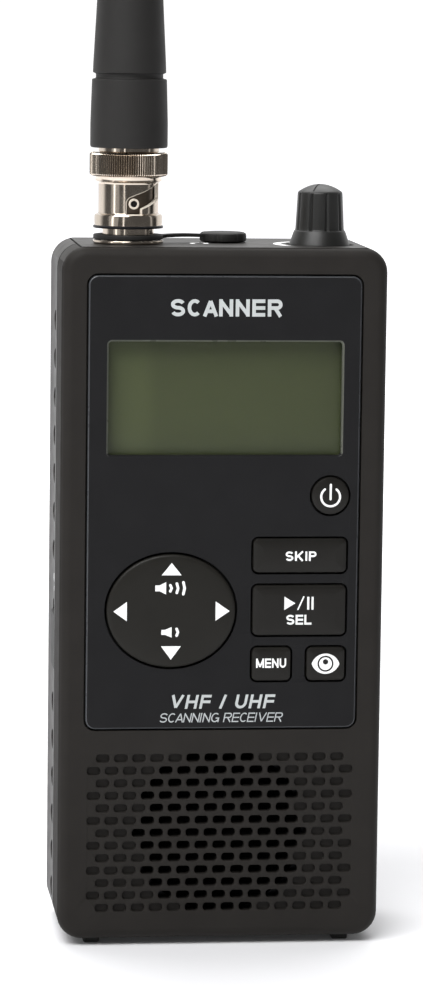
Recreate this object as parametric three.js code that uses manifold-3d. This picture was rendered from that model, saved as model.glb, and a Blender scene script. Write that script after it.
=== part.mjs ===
// Handheld police scanner with a removable rubber antenna.
// Millimetres, +Z up, the front faces -Y. While the pieces are built, y is the depth behind
// the front face. At the end the whole group moves so that its box is centred on y = 0.

import * as THREE from 'three';
import { mergeVertices } from 'three/addons/utils/BufferGeometryUtils.js';
import Module from 'manifold-3d';

const wasm = await Module();
wasm.setup();

// Case
const HALF_WIDTH = 30;
const FOOT_HEIGHT = 1.3;
const CASE_TOP = 130;
const CASE_DEPTH = 31;
const CORNER_RADIUS = 4.5;
const EDGE_FILLET = 2;
const WALL = 2;
const FRONT_WALL = 2.8;
const PARTING_DEPTH = 12;
const GAP = 0.3;
const CAVITY_HALF_WIDTH = HALF_WIDTH - WALL;
const CAVITY_BOTTOM = FOOT_HEIGHT + WALL;
const CAVITY_TOP = 125.7;
const BACK_WALL_INSIDE = CASE_DEPTH - WALL;

// Front panel, display and keys
const PANEL = { left: -25.15, right: 25.15, bottom: 41, top: 124.9, radius: 1.8 };
const PANEL_THICKNESS = 1.2;
const WINDOW = { left: -21.7, right: 22, bottom: 91.6, top: 113.1, radius: 0.9 };
const WINDOW_LIP = 0.8;
const WINDOW_THICKNESS = 1;
const KEY_PROUD = 0.4;
const KEY_GAP = 0.3;
const KEY_FLANGE = 0.7;
const KEY_FLANGE_FRONT = 3.1;
const KEY_BACK = 3.7;
const KEY_RADIUS = 1;
const POWER = { x: 19.8, z: 84.4, radius: 3.5 };
const KEYS = [
  { name: 'skip_button', left: 5.6, right: 23, bottom: 70.1, top: 76.5 },
  { name: 'select_button', left: 5.6, right: 23, bottom: 58.4, top: 67.8 },
  { name: 'menu_button', left: 5.6, right: 12.9, bottom: 49.9, top: 56.2 },
  { name: 'watch_button', left: 15.8, right: 23, bottom: 49.9, top: 56.2 },
];
const PAD = { x: -9.5, z: 63.1, radiusX: 11.9, radiusZ: 10.5, proud: 0.8 };
const PAD_FLANGE_FRONT = 3.6;
const PAD_BACK = 4.2;

// Speaker grille and speaker
const SPEAKER_Z = 21.45;
const GRILLE_RADIUS = 15.5;
const GRILLE_ROWS = 13;
const ROW_PITCH = 2.35;
const SLOT_PITCH = 3.36;
const SLOT_LENGTH = 2.5;
const SLOT_HEIGHT = 1.55;
const SPEAKER_RADIUS = 17.2;

// Top of the case
const TOP_PLATE = { left: -26.3, right: 26.3, front: 1.5, back: 29.3, bottom: 128 };
const LEDGE_TOP = TOP_PLATE.bottom - GAP;
const KNOB = { x: 18.7, depth: 12, well: 6.4 };
const EARPHONE = { x: 1.3, depth: 17.5 };
const JACK = { x: -17, depth: 12 };
const STRAP_START = 6.95;
const STRAP_LENGTH = 9.3;

// Antenna connector
const JACK_RADIUS = 4.8;
const JACK_BORE = 4.15;
const LUG_Z = 137.2;
const LUG_RADIUS = 1;
const LUG_REACH = 5.5;
const LUG_ANGLE = -84.3;
const NUT_BORE = 4.95;
const NUT_RADIUS = 5.6;
const NUT_BOTTOM = 132.9;
const NUT_RIM_TOP = 135.5;
const RIM_BORE = 5.85;
const RIM_WEB = 0.6;
const KNURL_BOTTOM = 142.4;
const KNURL_TOP = 146.5;
const KNURL_RADIUS = 7.2;
const SLOT_HALF_WIDTH = 1.3;
const SLOT_RISE_PER_DEGREE = 0.036;
const SLOT_SWEEP = 64;

// Antenna
const SLEEVE_BOTTOM = 147.65;
const ANTENNA_TOP = 306;

// Power
const CELL_RADIUS = 7.15;
const CELL_LENGTH = 50.5;
const CELL_X = 7.5;
const CELL_DEPTH = 21.5;
const BAY = { halfWidth: 16, bottom: 9, top: 65.2, front: 13.9, wall: 1.3 };
const DOOR = { halfWidth: 18.2, bottom: 7.5, top: 66.5, front: 29.2 };

// Side
const USB = { front: 13.6, back: 22.6, bottom: 49.7, top: 60.3, thickness: 1.3, z: 55 };

// Belt clip
const CLIP_TOP = 121;
const CLIP_BOTTOM = 70;
const CLIP_BASE = { left: -9, right: 9, bottom: 98, top: 119, radius: 1.5 };
const CLIP_HALF_WIDTH = 7.2;
const CLIP_FRONT = 36.2;
const CLIP_BACK = 38.2;
const CLIP_PIVOT = { depth: 34.7, z: 108 };

// Screws and feet
const SCREWS = [
  { x: -25.2, z: 6.4 },
  { x: 25.2, z: 6.4 },
  { x: -25.2, z: 119.5 },
  { x: 25.2, z: 119.5 },
];
const BOSS_RADIUS = 2.4;
const CLIP_SCREW_Z = [101.5, 115.5];
const FOOT_X = 23.4;
const FOOT_DEPTHS = [3.5, 23];

const MIDDLE_DEPTH = (CLIP_BACK - PAD.proud) / 2;

const finish = (color, roughness, metalness = 0) => ({ color, roughness, metalness });
const CHARCOAL = finish(0x32302d, 0.55);
const PANEL_BLACK = finish(0x26282a, 0.4);
const KEY_BLACK = finish(0x1e1d1b, 0.3);
const RUBBER = finish(0x242322, 0.8);
const FOOT_GREY = finish(0x55585c, 0.7);
const CLEAR = finish(0x4b503a, 0.1);
const DISPLAY_OLIVE = finish(0x4b5039, 0.3);
const NICKEL = finish(0xb5aea2, 0.25, 1);
const BRASS = finish(0xb08d4a, 0.35, 1);
const STEEL = finish(0x8d9094, 0.35, 1);
const BOARD_GREEN = finish(0x1d4a2c, 0.6);
const WHITE_PLASTIC = finish(0xe4e2dc, 0.5);
const CELL_SLEEVE = finish(0x3b4a63, 0.35);
const PAPER_BLACK = finish(0x161616, 0.9);

// Solids

function signedVolume(positions, triangles) {
  const corner = [new THREE.Vector3(), new THREE.Vector3(), new THREE.Vector3()];
  let volume = 0;
  for (let i = 0; i < triangles.length; i += 3) {
    corner.forEach((point, k) => point.fromArray(positions, 3 * triangles[i + k]));
    volume += corner[0].dot(corner[1].cross(corner[2])) / 6;
  }
  return volume;
}

function solid(geometry) {
  const bare = geometry.clone();
  bare.deleteAttribute('normal');
  bare.deleteAttribute('uv');
  const merged = mergeVertices(bare, 1e-4);
  const positions = Float32Array.from(merged.attributes.position.array);
  const index = merged.index.array;
  const triangles = [];
  for (let i = 0; i < index.length; i += 3) {
    const [a, b, c] = [index[i], index[i + 1], index[i + 2]];
    if (a !== b && b !== c && c !== a) {
      triangles.push(a, b, c);
    }
  }
  if (signedVolume(positions, triangles) < 0) {
    triangles.reverse();
  }
  const mesh = new wasm.Mesh({
    numProp: 3,
    vertProperties: positions,
    triVerts: Uint32Array.from(triangles),
  });
  return new wasm.Manifold(mesh);
}

function surface(manifold) {
  const mesh = manifold.getMesh();
  const geometry = new THREE.BufferGeometry();
  geometry.setAttribute('position', new THREE.BufferAttribute(mesh.vertProperties, 3));
  geometry.setIndex(new THREE.BufferAttribute(mesh.triVerts, 1));
  geometry.computeVertexNormals();
  return geometry;
}

const joined = (parts) => parts.reduce((sum, part) => sum.add(part));
const cutBy = (body, cutters) => cutters.reduce((left, cutter) => left.subtract(cutter), body);

// Outlines

function roundedRect(left, bottom, right, top, radius) {
  const shape = new THREE.Shape();
  shape.absarc(right - radius, bottom + radius, radius, -Math.PI / 2, 0);
  shape.absarc(right - radius, top - radius, radius, 0, Math.PI / 2);
  shape.absarc(left + radius, top - radius, radius, Math.PI / 2, Math.PI);
  shape.absarc(left + radius, bottom + radius, radius, Math.PI, 1.5 * Math.PI);
  return shape;
}

function ellipse(x, z, radiusX, radiusZ) {
  const shape = new THREE.Shape();
  shape.absellipse(x, z, radiusX, radiusZ, 0, 2 * Math.PI);
  return shape;
}

const circle = (x, z, radius) => ellipse(x, z, radius, radius);

const grown = (box, margin, radius = box.radius) => roundedRect(
  box.left - margin, box.bottom - margin, box.right + margin, box.top + margin, radius,
);

// A front-view outline made solid from one depth to another
function slab(shape, front, back, curveSegments = 2) {
  const geometry = new THREE.ExtrudeGeometry(shape, {
    depth: back - front,
    bevelEnabled: false,
    curveSegments,
  });
  return solid(geometry.rotateX(Math.PI / 2).translate(0, back, 0));
}

// A top-view outline made solid from one height to another
function tile(shape, bottom, top, curveSegments = 2) {
  const geometry = new THREE.ExtrudeGeometry(shape, {
    depth: top - bottom,
    bevelEnabled: false,
    curveSegments,
  });
  return solid(geometry.translate(0, 0, bottom));
}

function box(left, right, front, back, bottom, top) {
  const geometry = new THREE.BoxGeometry(right - left, back - front, top - bottom);
  return solid(geometry.translate((left + right) / 2, (front + back) / 2, (bottom + top) / 2));
}

// Front-view outline with both of its end edges rounded over
function filletedSlab(shape, front, back, fillet) {
  const geometry = new THREE.ExtrudeGeometry(shape, {
    depth: back - front - 2 * fillet,
    bevelThickness: fillet,
    bevelSize: fillet,
    bevelOffset: -fillet,
    bevelSegments: 3,
    curveSegments: 2,
  });
  return solid(geometry.rotateX(Math.PI / 2).translate(0, back - fillet, 0));
}

const points = (profile) => profile.map(([radius, along]) => new THREE.Vector2(radius, along));

// Turned about a vertical axis: the profile is radius and height
function turned(profile, x, depth, segments = 16) {
  const geometry = new THREE.LatheGeometry(points(profile), segments);
  return solid(geometry.rotateX(Math.PI / 2).translate(x, depth, 0));
}

// Turned about a front-to-back axis: the profile is radius and depth
function turnedForward(profile, x, z, segments = 16) {
  const geometry = new THREE.LatheGeometry(points(profile), segments);
  return solid(geometry.translate(x, 0, z));
}

const rod = (x, depth, radius, bottom, top, segments) => turned(
  [[0, bottom], [radius, bottom], [radius, top], [0, top]], x, depth, segments,
);

const peg = (x, z, radius, front, back, segments = 10) => turnedForward(
  [[0, front], [radius, front], [radius, back], [0, back]], x, z, segments,
);

const ring = (inner, outer, bottom, top) => [
  [inner, bottom], [outer, bottom], [outer, top], [inner, top], [inner, bottom],
];

// Along the X axis at a depth and height
function crossPin(depth, z, radius, left, right, segments = 10) {
  const geometry = new THREE.CylinderGeometry(radius, radius, right - left, segments);
  return solid(geometry.rotateZ(Math.PI / 2).translate((left + right) / 2, depth, z));
}

class Helix extends THREE.Curve {
  constructor(radius, start, end, turns) {
    super();
    Object.assign(this, { radius, start, end, turns });
  }

  getPoint(t) {
    const angle = 2 * Math.PI * this.turns * t;
    return new THREE.Vector3(
      this.radius * Math.cos(angle),
      this.radius * Math.sin(angle),
      this.start + (this.end - this.start) * t,
    );
  }
}

// Coil about the vertical axis through the origin
function coil(radius, wire, start, end, turns) {
  return new THREE.ExtrudeGeometry(circle(0, 0, wire), {
    steps: Math.round(turns * 9),
    curveSegments: 2,
    bevelEnabled: false,
    extrudePath: new Helix(radius, start, end, turns),
  });
}

// The model

const scanner = new THREE.Group();

function add(name, body, look) {
  const mesh = new THREE.Mesh(surface(body), new THREE.MeshStandardMaterial(look));
  mesh.name = name;
  scanner.add(mesh);
}

const caseOutline = () => roundedRect(
  -HALF_WIDTH, FOOT_HEIGHT, HALF_WIDTH, CASE_TOP, CORNER_RADIUS,
);
const cavityOutline = () => roundedRect(
  -CAVITY_HALF_WIDTH, CAVITY_BOTTOM, CAVITY_HALF_WIDTH, CAVITY_TOP, CORNER_RADIUS - WALL,
);

function topCutters() {
  return [
    box(
      TOP_PLATE.left - GAP, TOP_PLATE.right + GAP, TOP_PLATE.front - GAP, TOP_PLATE.back + GAP,
      LEDGE_TOP, CASE_TOP + 1,
    ),
    rod(JACK.x, JACK.depth, JACK_RADIUS + GAP, CAVITY_TOP - 1, CASE_TOP, 16),
    rod(KNOB.x, KNOB.depth, 3.3, CAVITY_TOP - 1, CASE_TOP, 12),
    rod(EARPHONE.x, EARPHONE.depth, 3.2, CAVITY_TOP - 1, CASE_TOP, 12),
  ];
}

function grilleSlots() {
  const slots = [];
  for (let row = 0; row < GRILLE_ROWS; row += 1) {
    const z = SPEAKER_Z + (row - (GRILLE_ROWS - 1) / 2) * ROW_PITCH;
    const shift = row % 2 === 0 ? SLOT_PITCH / 2 : 0;
    for (let column = -7; column <= 7; column += 1) {
      const x = column * SLOT_PITCH + shift;
      if (Math.hypot(x, z - SPEAKER_Z) < GRILLE_RADIUS) {
        slots.push(slotCutter(x, z));
      }
    }
  }
  return slots;
}

function slotCutter(x, z) {
  const halfLength = SLOT_LENGTH / 2;
  const halfHeight = SLOT_HEIGHT / 2;
  const straight = halfLength - halfHeight / 2;
  const shape = new THREE.Shape([
    new THREE.Vector2(x - straight, z - halfHeight),
    new THREE.Vector2(x + straight, z - halfHeight),
    new THREE.Vector2(x + halfLength, z),
    new THREE.Vector2(x + straight, z + halfHeight),
    new THREE.Vector2(x - straight, z + halfHeight),
    new THREE.Vector2(x - halfLength, z),
  ]);
  return slab(shape, -1, FRONT_WALL + 1);
}

const keyOutline = (key, margin) => grown(key, margin, KEY_RADIUS + Math.max(0, margin));
const padOutline = (margin) => ellipse(
  PAD.x, PAD.z, PAD.radiusX + margin, PAD.radiusZ + margin,
);

function keyHoles(margin) {
  return [
    ...KEYS.map((key) => slab(keyOutline(key, margin), -1, FRONT_WALL + 1)),
    slab(circle(POWER.x, POWER.z, POWER.radius + margin), -1, FRONT_WALL + 1, 8),
    slab(padOutline(margin + 0.1), -1, FRONT_WALL + 1, 12),
  ];
}

function addFrontCover() {
  const shell = filletedSlab(caseOutline(), 0, CASE_DEPTH, EDGE_FILLET).subtract(
    box(-50, 50, PARTING_DEPTH, 50, -10, 200),
  );
  const bosses = SCREWS.map(({ x, z }) => peg(x, z, BOSS_RADIUS, FRONT_WALL - 1, PARTING_DEPTH));
  const hollow = shell.subtract(slab(cavityOutline(), FRONT_WALL, PARTING_DEPTH + 1));
  const screwHoles = SCREWS.map(({ x, z }) => peg(x, z, 1.3, 5, PARTING_DEPTH + 1));
  add('front_cover', cutBy(joined([hollow, ...bosses]), [
    slab(grown(PANEL, GAP), -1, PANEL_THICKNESS + GAP),
    slab(grown(WINDOW, WINDOW_LIP + GAP), -1, FRONT_WALL + 1),
    ...keyHoles(KEY_GAP),
    ...grilleSlots(),
    ...screwHoles,
    ...topCutters(),
  ]), CHARCOAL);
}

function addFrontPanel() {
  const plate = slab(grown(PANEL, 0), 0, PANEL_THICKNESS);
  const window = slab(grown(WINDOW, 0), -1, PANEL_THICKNESS + 1);
  add('front_panel', cutBy(plate, [window, ...keyHoles(KEY_GAP)]), PANEL_BLACK);
}

function addDisplay() {
  const front = PANEL_THICKNESS + GAP;
  const back = front + WINDOW_THICKNESS;
  add('display_window', slab(grown(WINDOW, WINDOW_LIP), front, back), CLEAR);
  const glass = slab(grown(WINDOW, WINDOW_LIP - 0.2, 0.5), back + GAP, back + GAP + 1.8);
  add('lcd_glass', glass, DISPLAY_OLIVE);
}

function addKeys() {
  for (const key of KEYS) {
    const cap = slab(keyOutline(key, 0), -KEY_PROUD, KEY_BACK);
    const flange = slab(keyOutline(key, KEY_FLANGE), KEY_FLANGE_FRONT, KEY_BACK);
    add(key.name, cap.add(flange), KEY_BLACK);
  }
  const cap = peg(POWER.x, POWER.z, POWER.radius, -KEY_PROUD, KEY_BACK, 16);
  const flange = peg(POWER.x, POWER.z, POWER.radius + KEY_FLANGE, KEY_FLANGE_FRONT, KEY_BACK, 16);
  add('power_button', cap.add(flange), KEY_BLACK);
}

function addPad() {
  const cap = slab(padOutline(0), -PAD.proud, PAD_BACK, 12);
  const flange = slab(padOutline(KEY_FLANGE), PAD_FLANGE_FRONT, PAD_BACK, 12);
  const socket = peg(PAD.x, PAD.z, 2.6, 1.9, PAD_BACK + 1, 12);
  add('dpad', cap.add(flange).subtract(socket), KEY_BLACK);
  add('dpad_pivot', peg(PAD.x, PAD.z, 1.8, 2.3, 4.7, 12), WHITE_PLASTIC);
}

function addBoards() {
  const mat = slab(roundedRect(-23.5, 47.5, 24.5, 89.8, 1), 5, 5.8);
  const centres = KEYS.map((key) => [(key.left + key.right) / 2, (key.bottom + key.top) / 2]);
  centres.push([POWER.x, POWER.z]);
  const domes = centres.map(([x, z]) => turnedForward(
    [[0, 4.35], [1.6, 4.35], [2.4, 5.4], [0, 5.4]], x, z, 10,
  ));
  add('keypad_mat', joined([mat, ...domes]), FOOT_GREY);
  add('main_board', slab(roundedRect(-26.5, 42, 26.5, 116, 1), 6.5, 7.7), BOARD_GREEN);
  const can = box(-22, 22, 8, 11.2, 72, 112);
  add('rf_shield', can.subtract(box(-21.6, 21.6, 7, 10.8, 72.4, 111.6)), STEEL);
}

function addSpeaker() {
  const basket = [
    [15.8, 3.4], [SPEAKER_RADIUS, 3.4], [SPEAKER_RADIUS, 4.4], [9.4, 8.5], [3, 8.5], [3, 7.9],
    [9, 7.9], [15.8, 4.2], [15.8, 3.4],
  ];
  add('speaker_frame', turnedForward(basket, 0, SPEAKER_Z, 24), STEEL);
  const cone = [
    [0, 4.8], [3.5, 5.4], [15, 3.7], [15, 4], [3.7, 6.6], [2.2, 6.6], [2.2, 5.9], [0, 5.9],
  ];
  add('speaker_cone', turnedForward(cone, 0, SPEAKER_Z, 20), PAPER_BLACK);
  add('speaker_magnet', peg(0, SPEAKER_Z, 8.4, 8.8, 12.2, 20), STEEL);
}

function rearCutters() {
  const screws = SCREWS.flatMap(({ x, z }) => [
    peg(x, z, 1.3, PARTING_DEPTH, CASE_DEPTH),
    peg(x, z, 2.5, 28.4, CASE_DEPTH + 1),
  ]);
  const clipScrews = CLIP_SCREW_Z.map((z) => peg(0, z, 1.1, 23, CASE_DEPTH + 1));
  return [
    box(-BAY.halfWidth, BAY.halfWidth, BAY.front, 40, BAY.bottom, BAY.top),
    box(
      -DOOR.halfWidth - GAP, DOOR.halfWidth + GAP, BACK_WALL_INSIDE, 40,
      DOOR.bottom - GAP, DOOR.top + GAP,
    ),
    box(-12, -5, 26.6, BACK_WALL_INSIDE, 5.5, BAY.bottom + 1),
    box(5, 12, 26.6, BACK_WALL_INSIDE, 5.5, BAY.bottom + 1),
    box(-4.8, 4.8, 27.4, 40, DOOR.top, DOOR.top + 2),
    ...screws,
    ...clipScrews,
    ...topCutters(),
    ...usbCutters(),
  ];
}

function usbCutters() {
  return [
    box(
      -HALF_WIDTH - 1, -HALF_WIDTH + USB.thickness + GAP, USB.front - GAP, USB.back + GAP,
      USB.bottom - GAP, USB.top + GAP,
    ),
    box(-HALF_WIDTH - 1, -HALF_WIDTH + 1, 15.6, 20.6, USB.top, USB.top + 2),
    box(-HALF_WIDTH - 1, -24, 15.6, 20.6, USB.z - 4.4, USB.z + 4.4),
  ];
}

function addRearShell() {
  const front = PARTING_DEPTH + GAP;
  const shell = filletedSlab(caseOutline(), 0, CASE_DEPTH, EDGE_FILLET).subtract(
    box(-50, 50, -10, front, -10, 200),
  );
  const hollow = shell.subtract(slab(cavityOutline(), front - 1, BACK_WALL_INSIDE));
  const bosses = SCREWS.map(({ x, z }) => peg(x, z, 2.9, front, BACK_WALL_INSIDE + 1));
  const clipBosses = CLIP_SCREW_Z.map((z) => peg(0, z, 2.4, 22, BACK_WALL_INSIDE + 1));
  const bayOutside = box(
    -BAY.halfWidth - BAY.wall, BAY.halfWidth + BAY.wall, BAY.front - BAY.wall,
    BACK_WALL_INSIDE + 1, BAY.bottom - BAY.wall, BAY.top + BAY.wall,
  );
  const ledge = box(
    -DOOR.halfWidth - 1.6, DOOR.halfWidth + 1.6, 27.4, BACK_WALL_INSIDE + 1,
    DOOR.bottom - 2, DOOR.top + 2,
  );
  const usbPad = box(-HALF_WIDTH + 1, -26, 13.3, 24, 46, 65);
  add('rear_shell', cutBy(
    joined([hollow, ...bosses, ...clipBosses, bayOutside, ledge, usbPad]),
    rearCutters(),
  ), CHARCOAL);
}

function addTopPlate() {
  const outline = roundedRect(
    TOP_PLATE.left, TOP_PLATE.front, TOP_PLATE.right, TOP_PLATE.back, 0.8,
  );
  add('top_plate', cutBy(tile(outline, TOP_PLATE.bottom, CASE_TOP), [
    rod(JACK.x, JACK.depth, JACK_RADIUS + GAP, 120, 140, 16),
    rod(KNOB.x, KNOB.depth, KNOB.well, 120, 140, 24),
    rod(EARPHONE.x, EARPHONE.depth, 3.2, 120, 140, 12),
  ]), CHARCOAL);
}

function addKnob() {
  const { x, depth } = KNOB;
  const bushing = rod(x, depth, 2.9, 125, 127.4, 12).add(rod(x, depth, 2.4, 127, 129.9, 12));
  const bodyBox = box(x - 4.4, x + 3.2, depth - 4.8, depth + 4.8, 118.5, 125.4);
  add('volume_control', cutBy(bodyBox.add(bushing), [rod(x, depth, 1.8, 121, 140, 12)]), STEEL);
  add('volume_nut', turned(ring(2.9, 4.1, 127.9, 129.4), x, depth, 6), NICKEL);
  add('knob_shaft', rod(x, depth, 1.5, 121.5, 138, 10), STEEL);
  const skirt = [
    [0, 141.2], [3, 141.05], [4.2, 140.2], [4.53, 132.6], [5.65, 130], [5.65, 128.4],
    [4.6, 128.4], [4.6, 130.6], [1.7, 130.6], [1.7, 138.3], [0, 138.3],
  ];
  add('volume_knob', turned(skirt, x, depth, 24), KEY_BLACK);
}

function addEarphoneSocket() {
  const { x, depth } = EARPHONE;
  const body = box(x - 3.5, x + 3.5, depth - 3.5, depth + 3.5, 112, 125.4);
  const collar = rod(x, depth, 2.9, 125, 129.7, 12);
  add('earphone_socket', body.add(collar).subtract(rod(x, depth, 1.85, 113, 140, 12)), KEY_BLACK);
}

function addJack() {
  const { x, depth } = JACK;
  const body = [
    [2.6, 121], [4, 121], [4, 123.9], [6.6, 123.9], [6.6, 125.4], [JACK_RADIUS, 125.4],
    [JACK_RADIUS, 142], [JACK_BORE, 142], [JACK_BORE, 133.2], [2.6, 133.2], [2.6, 121],
  ];
  const lug = new THREE.CylinderGeometry(LUG_RADIUS, LUG_RADIUS, 1, 12)
    .rotateZ(Math.PI / 2)
    .translate(LUG_REACH - 0.5, 0, 0);
  const lugs = [LUG_ANGLE, LUG_ANGLE + 180].map((angle) => solid(
    lug.clone().rotateZ(THREE.MathUtils.degToRad(angle)).translate(x, depth, LUG_Z),
  ));
  add('bnc_jack', joined([turned(body, x, depth), ...lugs]), NICKEL);
  add('bnc_insulator', turned(ring(1.3, 2.3, 121.5, 135), x, depth, 12), WHITE_PLASTIC);
  add('bnc_contact', turned(
    [[0, 119], [1, 119], [1, 136], [0.72, 136], [0.72, 128], [0, 128]], x, depth, 8,
  ), BRASS);
  add('bnc_flange_nut', turned(ring(JACK_RADIUS + 0.1, 6.5, 130.1, 130.7), x, depth, 24), NICKEL);
  add('tether_ring', turned(ring(JACK_RADIUS + 0.1, 6.4, 130.8, 131.7), x, depth, 20), RUBBER);
}

// Two ramps open into the coupling nut, half a turn apart: each is a straight way up from
// the rim and then a rising groove.
function slotRamp() {
  const radius = (NUT_BORE + NUT_RADIUS) / 2;
  const perDegree = THREE.MathUtils.degToRad(radius);
  const slope = SLOT_RISE_PER_DEGREE / perDegree;
  const halfHeight = SLOT_HALF_WIDTH * Math.hypot(1, slope);
  const steps = 8;
  const lower = [];
  const upper = [];
  for (let i = 0; i <= steps; i += 1) {
    const along = SLOT_HALF_WIDTH + (SLOT_SWEEP * perDegree - SLOT_HALF_WIDTH) * (i / steps);
    lower.push(new THREE.Vector2(along, LUG_Z + slope * along - halfHeight));
    upper.unshift(new THREE.Vector2(along, LUG_Z + slope * along + halfHeight));
  }
  const outline = [
    new THREE.Vector2(-SLOT_HALF_WIDTH, NUT_RIM_TOP),
    new THREE.Vector2(SLOT_HALF_WIDTH, NUT_RIM_TOP),
    ...lower,
    ...upper,
    new THREE.Vector2(-SLOT_HALF_WIDTH, LUG_Z - slope * SLOT_HALF_WIDTH + halfHeight),
  ];
  const geometry = new THREE.ExtrudeGeometry(new THREE.Shape(outline), {
    depth: 2,
    bevelEnabled: false,
  });
  const place = geometry.attributes.position;
  for (let i = 0; i < place.count; i += 1) {
    const angle = place.getX(i) / radius;
    const reach = NUT_BORE - 0.6 + 2 * place.getZ(i);
    place.setXYZ(i, reach * Math.cos(angle), reach * Math.sin(angle), place.getY(i));
  }
  return geometry;
}

function addCoupling() {
  const { x, depth } = JACK;
  const profile = [
    [RIM_BORE, NUT_BOTTOM], [6.5, NUT_BOTTOM], [6.5, NUT_BOTTOM + 0.4],
    [6.3, NUT_BOTTOM + 0.5], [6.3, NUT_RIM_TOP], [NUT_RADIUS, NUT_RIM_TOP],
    [NUT_RADIUS, 141.4], [6.2, 141.6], [6.2, KNURL_BOTTOM], [KNURL_RADIUS, KNURL_BOTTOM],
    [KNURL_RADIUS, KNURL_TOP], [4.3, KNURL_TOP], [4.3, KNURL_TOP - 1],
    [NUT_BORE, KNURL_TOP - 1], [NUT_BORE, NUT_RIM_TOP - RIM_WEB],
    [RIM_BORE, NUT_RIM_TOP - RIM_WEB], [RIM_BORE, NUT_BOTTOM],
  ];
  const entrance = new THREE.BoxGeometry(1.5, 2 * SLOT_HALF_WIDTH, 2).translate(
    RIM_BORE - 0.75, 0, NUT_RIM_TOP - RIM_WEB,
  );
  const ways = [LUG_ANGLE, LUG_ANGLE + 180].flatMap((angle) => [slotRamp(), entrance].map(
    (cutter) => solid(
      cutter.clone().rotateZ(THREE.MathUtils.degToRad(angle)).translate(x, depth, 0),
    ),
  ));
  add('bnc_nut', cutBy(turned(profile, x, depth, 24), ways), NICKEL);
  add('bnc_gasket', turned(ring(4.15, 4.75, 142.2, 142.9), x, depth, 16), WHITE_PLASTIC);
  add('bnc_retaining_ring', turned(ring(4.15, 4.8, 144.8, 145.2), x, depth, 16), STEEL);
}

function addAntenna() {
  const { x, depth } = JACK;
  add('antenna_plug', turned([
    [3, 134.4], [4, 134.4], [4, 144], [4.7, 144], [4.7, 144.6], [4, 144.6], [4, 146.8],
    [5.6, 146.8], [5.6, 150], [4.4, 150], [4.4, 158], [1.6, 158], [1.6, 145], [3, 145],
    [3, 134.4],
  ], x, depth, 20), NICKEL);
  add('antenna_element', turned([
    [0, 131], [0.55, 131.5], [0.55, 146], [1, 146], [1, 290], [0, 290],
  ], x, depth, 8), BRASS);
  add('antenna_sleeve', turned([
    [5.9, SLEEVE_BOTTOM], [6.9, SLEEVE_BOTTOM], [7.15, SLEEVE_BOTTOM + 0.4], [7.15, 152],
    [6.9, 160.2], [6.2, 160.4], [6.2, 161.2], [6.73, 161.4], [6.7, 163], [6.09, 174.6],
    [5.5, 187], [5.05, 200], [4.7, 216], [4.4, 240], [4, 292], [3.6, 301], [2.4, 304.8],
    [0, ANTENNA_TOP], [0, 292], [1.3, 292], [1.3, 158.4], [4.7, 158.4], [4.7, 150.3],
    [5.9, 150.3], [5.9, SLEEVE_BOTTOM],
  ], x, depth, 16), RUBBER);
}

// The strap runs straight from the tether ring to the cap over the earphone socket
function addJackCap() {
  const acrossX = EARPHONE.x - JACK.x;
  const acrossDepth = EARPHONE.depth - JACK.depth;
  const strap = solid(
    new THREE.BoxGeometry(STRAP_LENGTH, 3.4, 0.7)
      .translate(STRAP_START + STRAP_LENGTH / 2, 0, 131.25)
      .rotateZ(Math.atan2(acrossDepth, acrossX))
      .translate(JACK.x, JACK.depth, 0),
  );
  const cap = turned([
    [0, 127.4], [0.9, 127.4], [1.1, 127.8], [1.1, 130.1], [4.35, 130.1], [4.35, 131.5],
    [3.9, 131.9], [0, 131.9],
  ], EARPHONE.x, EARPHONE.depth, 20);
  add('jack_cap', cap.add(strap), RUBBER);
}

function addPower() {
  const cell = (up) => {
    const nub = 1;
    const profile = [
      [0, 0], [CELL_RADIUS, 0], [CELL_RADIUS, CELL_LENGTH - nub], [2.75, CELL_LENGTH - nub],
      [2.75, CELL_LENGTH], [0, CELL_LENGTH],
    ];
    const base = up ? 13.6 : 10;
    return profile.map(([radius, z]) => [radius, base + (up ? z : CELL_LENGTH - z)]);
  };
  add('battery_1', turned(cell(true), -CELL_X, CELL_DEPTH, 20), CELL_SLEEVE);
  add('battery_2', turned(cell(false), CELL_X, CELL_DEPTH, 20), CELL_SLEEVE);
  const spring = (x, start, end) => solid(
    coil(3.2, 0.35, start, end, 4).translate(x, CELL_DEPTH, 0),
  );
  add('battery_spring_1', spring(-CELL_X, 10.1, 13), STEEL);
  add('battery_spring_2', spring(CELL_X, 61.1, 63.9), STEEL);
  add('contact_bridge', box(-14, 14, 16, 26.5, 9.2, 9.5), STEEL);
  add('contact_positive', box(-14, -1, 16, 26.5, 64.6, 64.9), STEEL);
  add('contact_negative', box(1, 14, 16, 26.5, 64.6, 64.9), STEEL);
}

function addDoor() {
  const { halfWidth, bottom, top, front } = DOOR;
  const latchWay = box(-4.3, 4.3, front - 2, CASE_DEPTH + 1, top - 9, top + 1);
  const hooks = [-11, 6].flatMap((left) => [
    box(left, left + 5, 27.3, 28.7, 6.3, bottom + 2),
    box(left, left + 5, 27.3, front + 1, bottom + 0.6, bottom + 2),
  ]);
  const plate = slab(roundedRect(-halfWidth, bottom, halfWidth, top, 1), front, CASE_DEPTH);
  add('battery_door', joined([plate, ...hooks]).subtract(latchWay), CHARCOAL);
  const thumb = box(-4, 4, front, CASE_DEPTH, top - 6, top - 0.4);
  const tongue = box(-3.6, 3.6, front, front + 0.9, top - 1, top + 1.2);
  add('battery_latch', thumb.add(tongue), KEY_BLACK);
}

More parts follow.
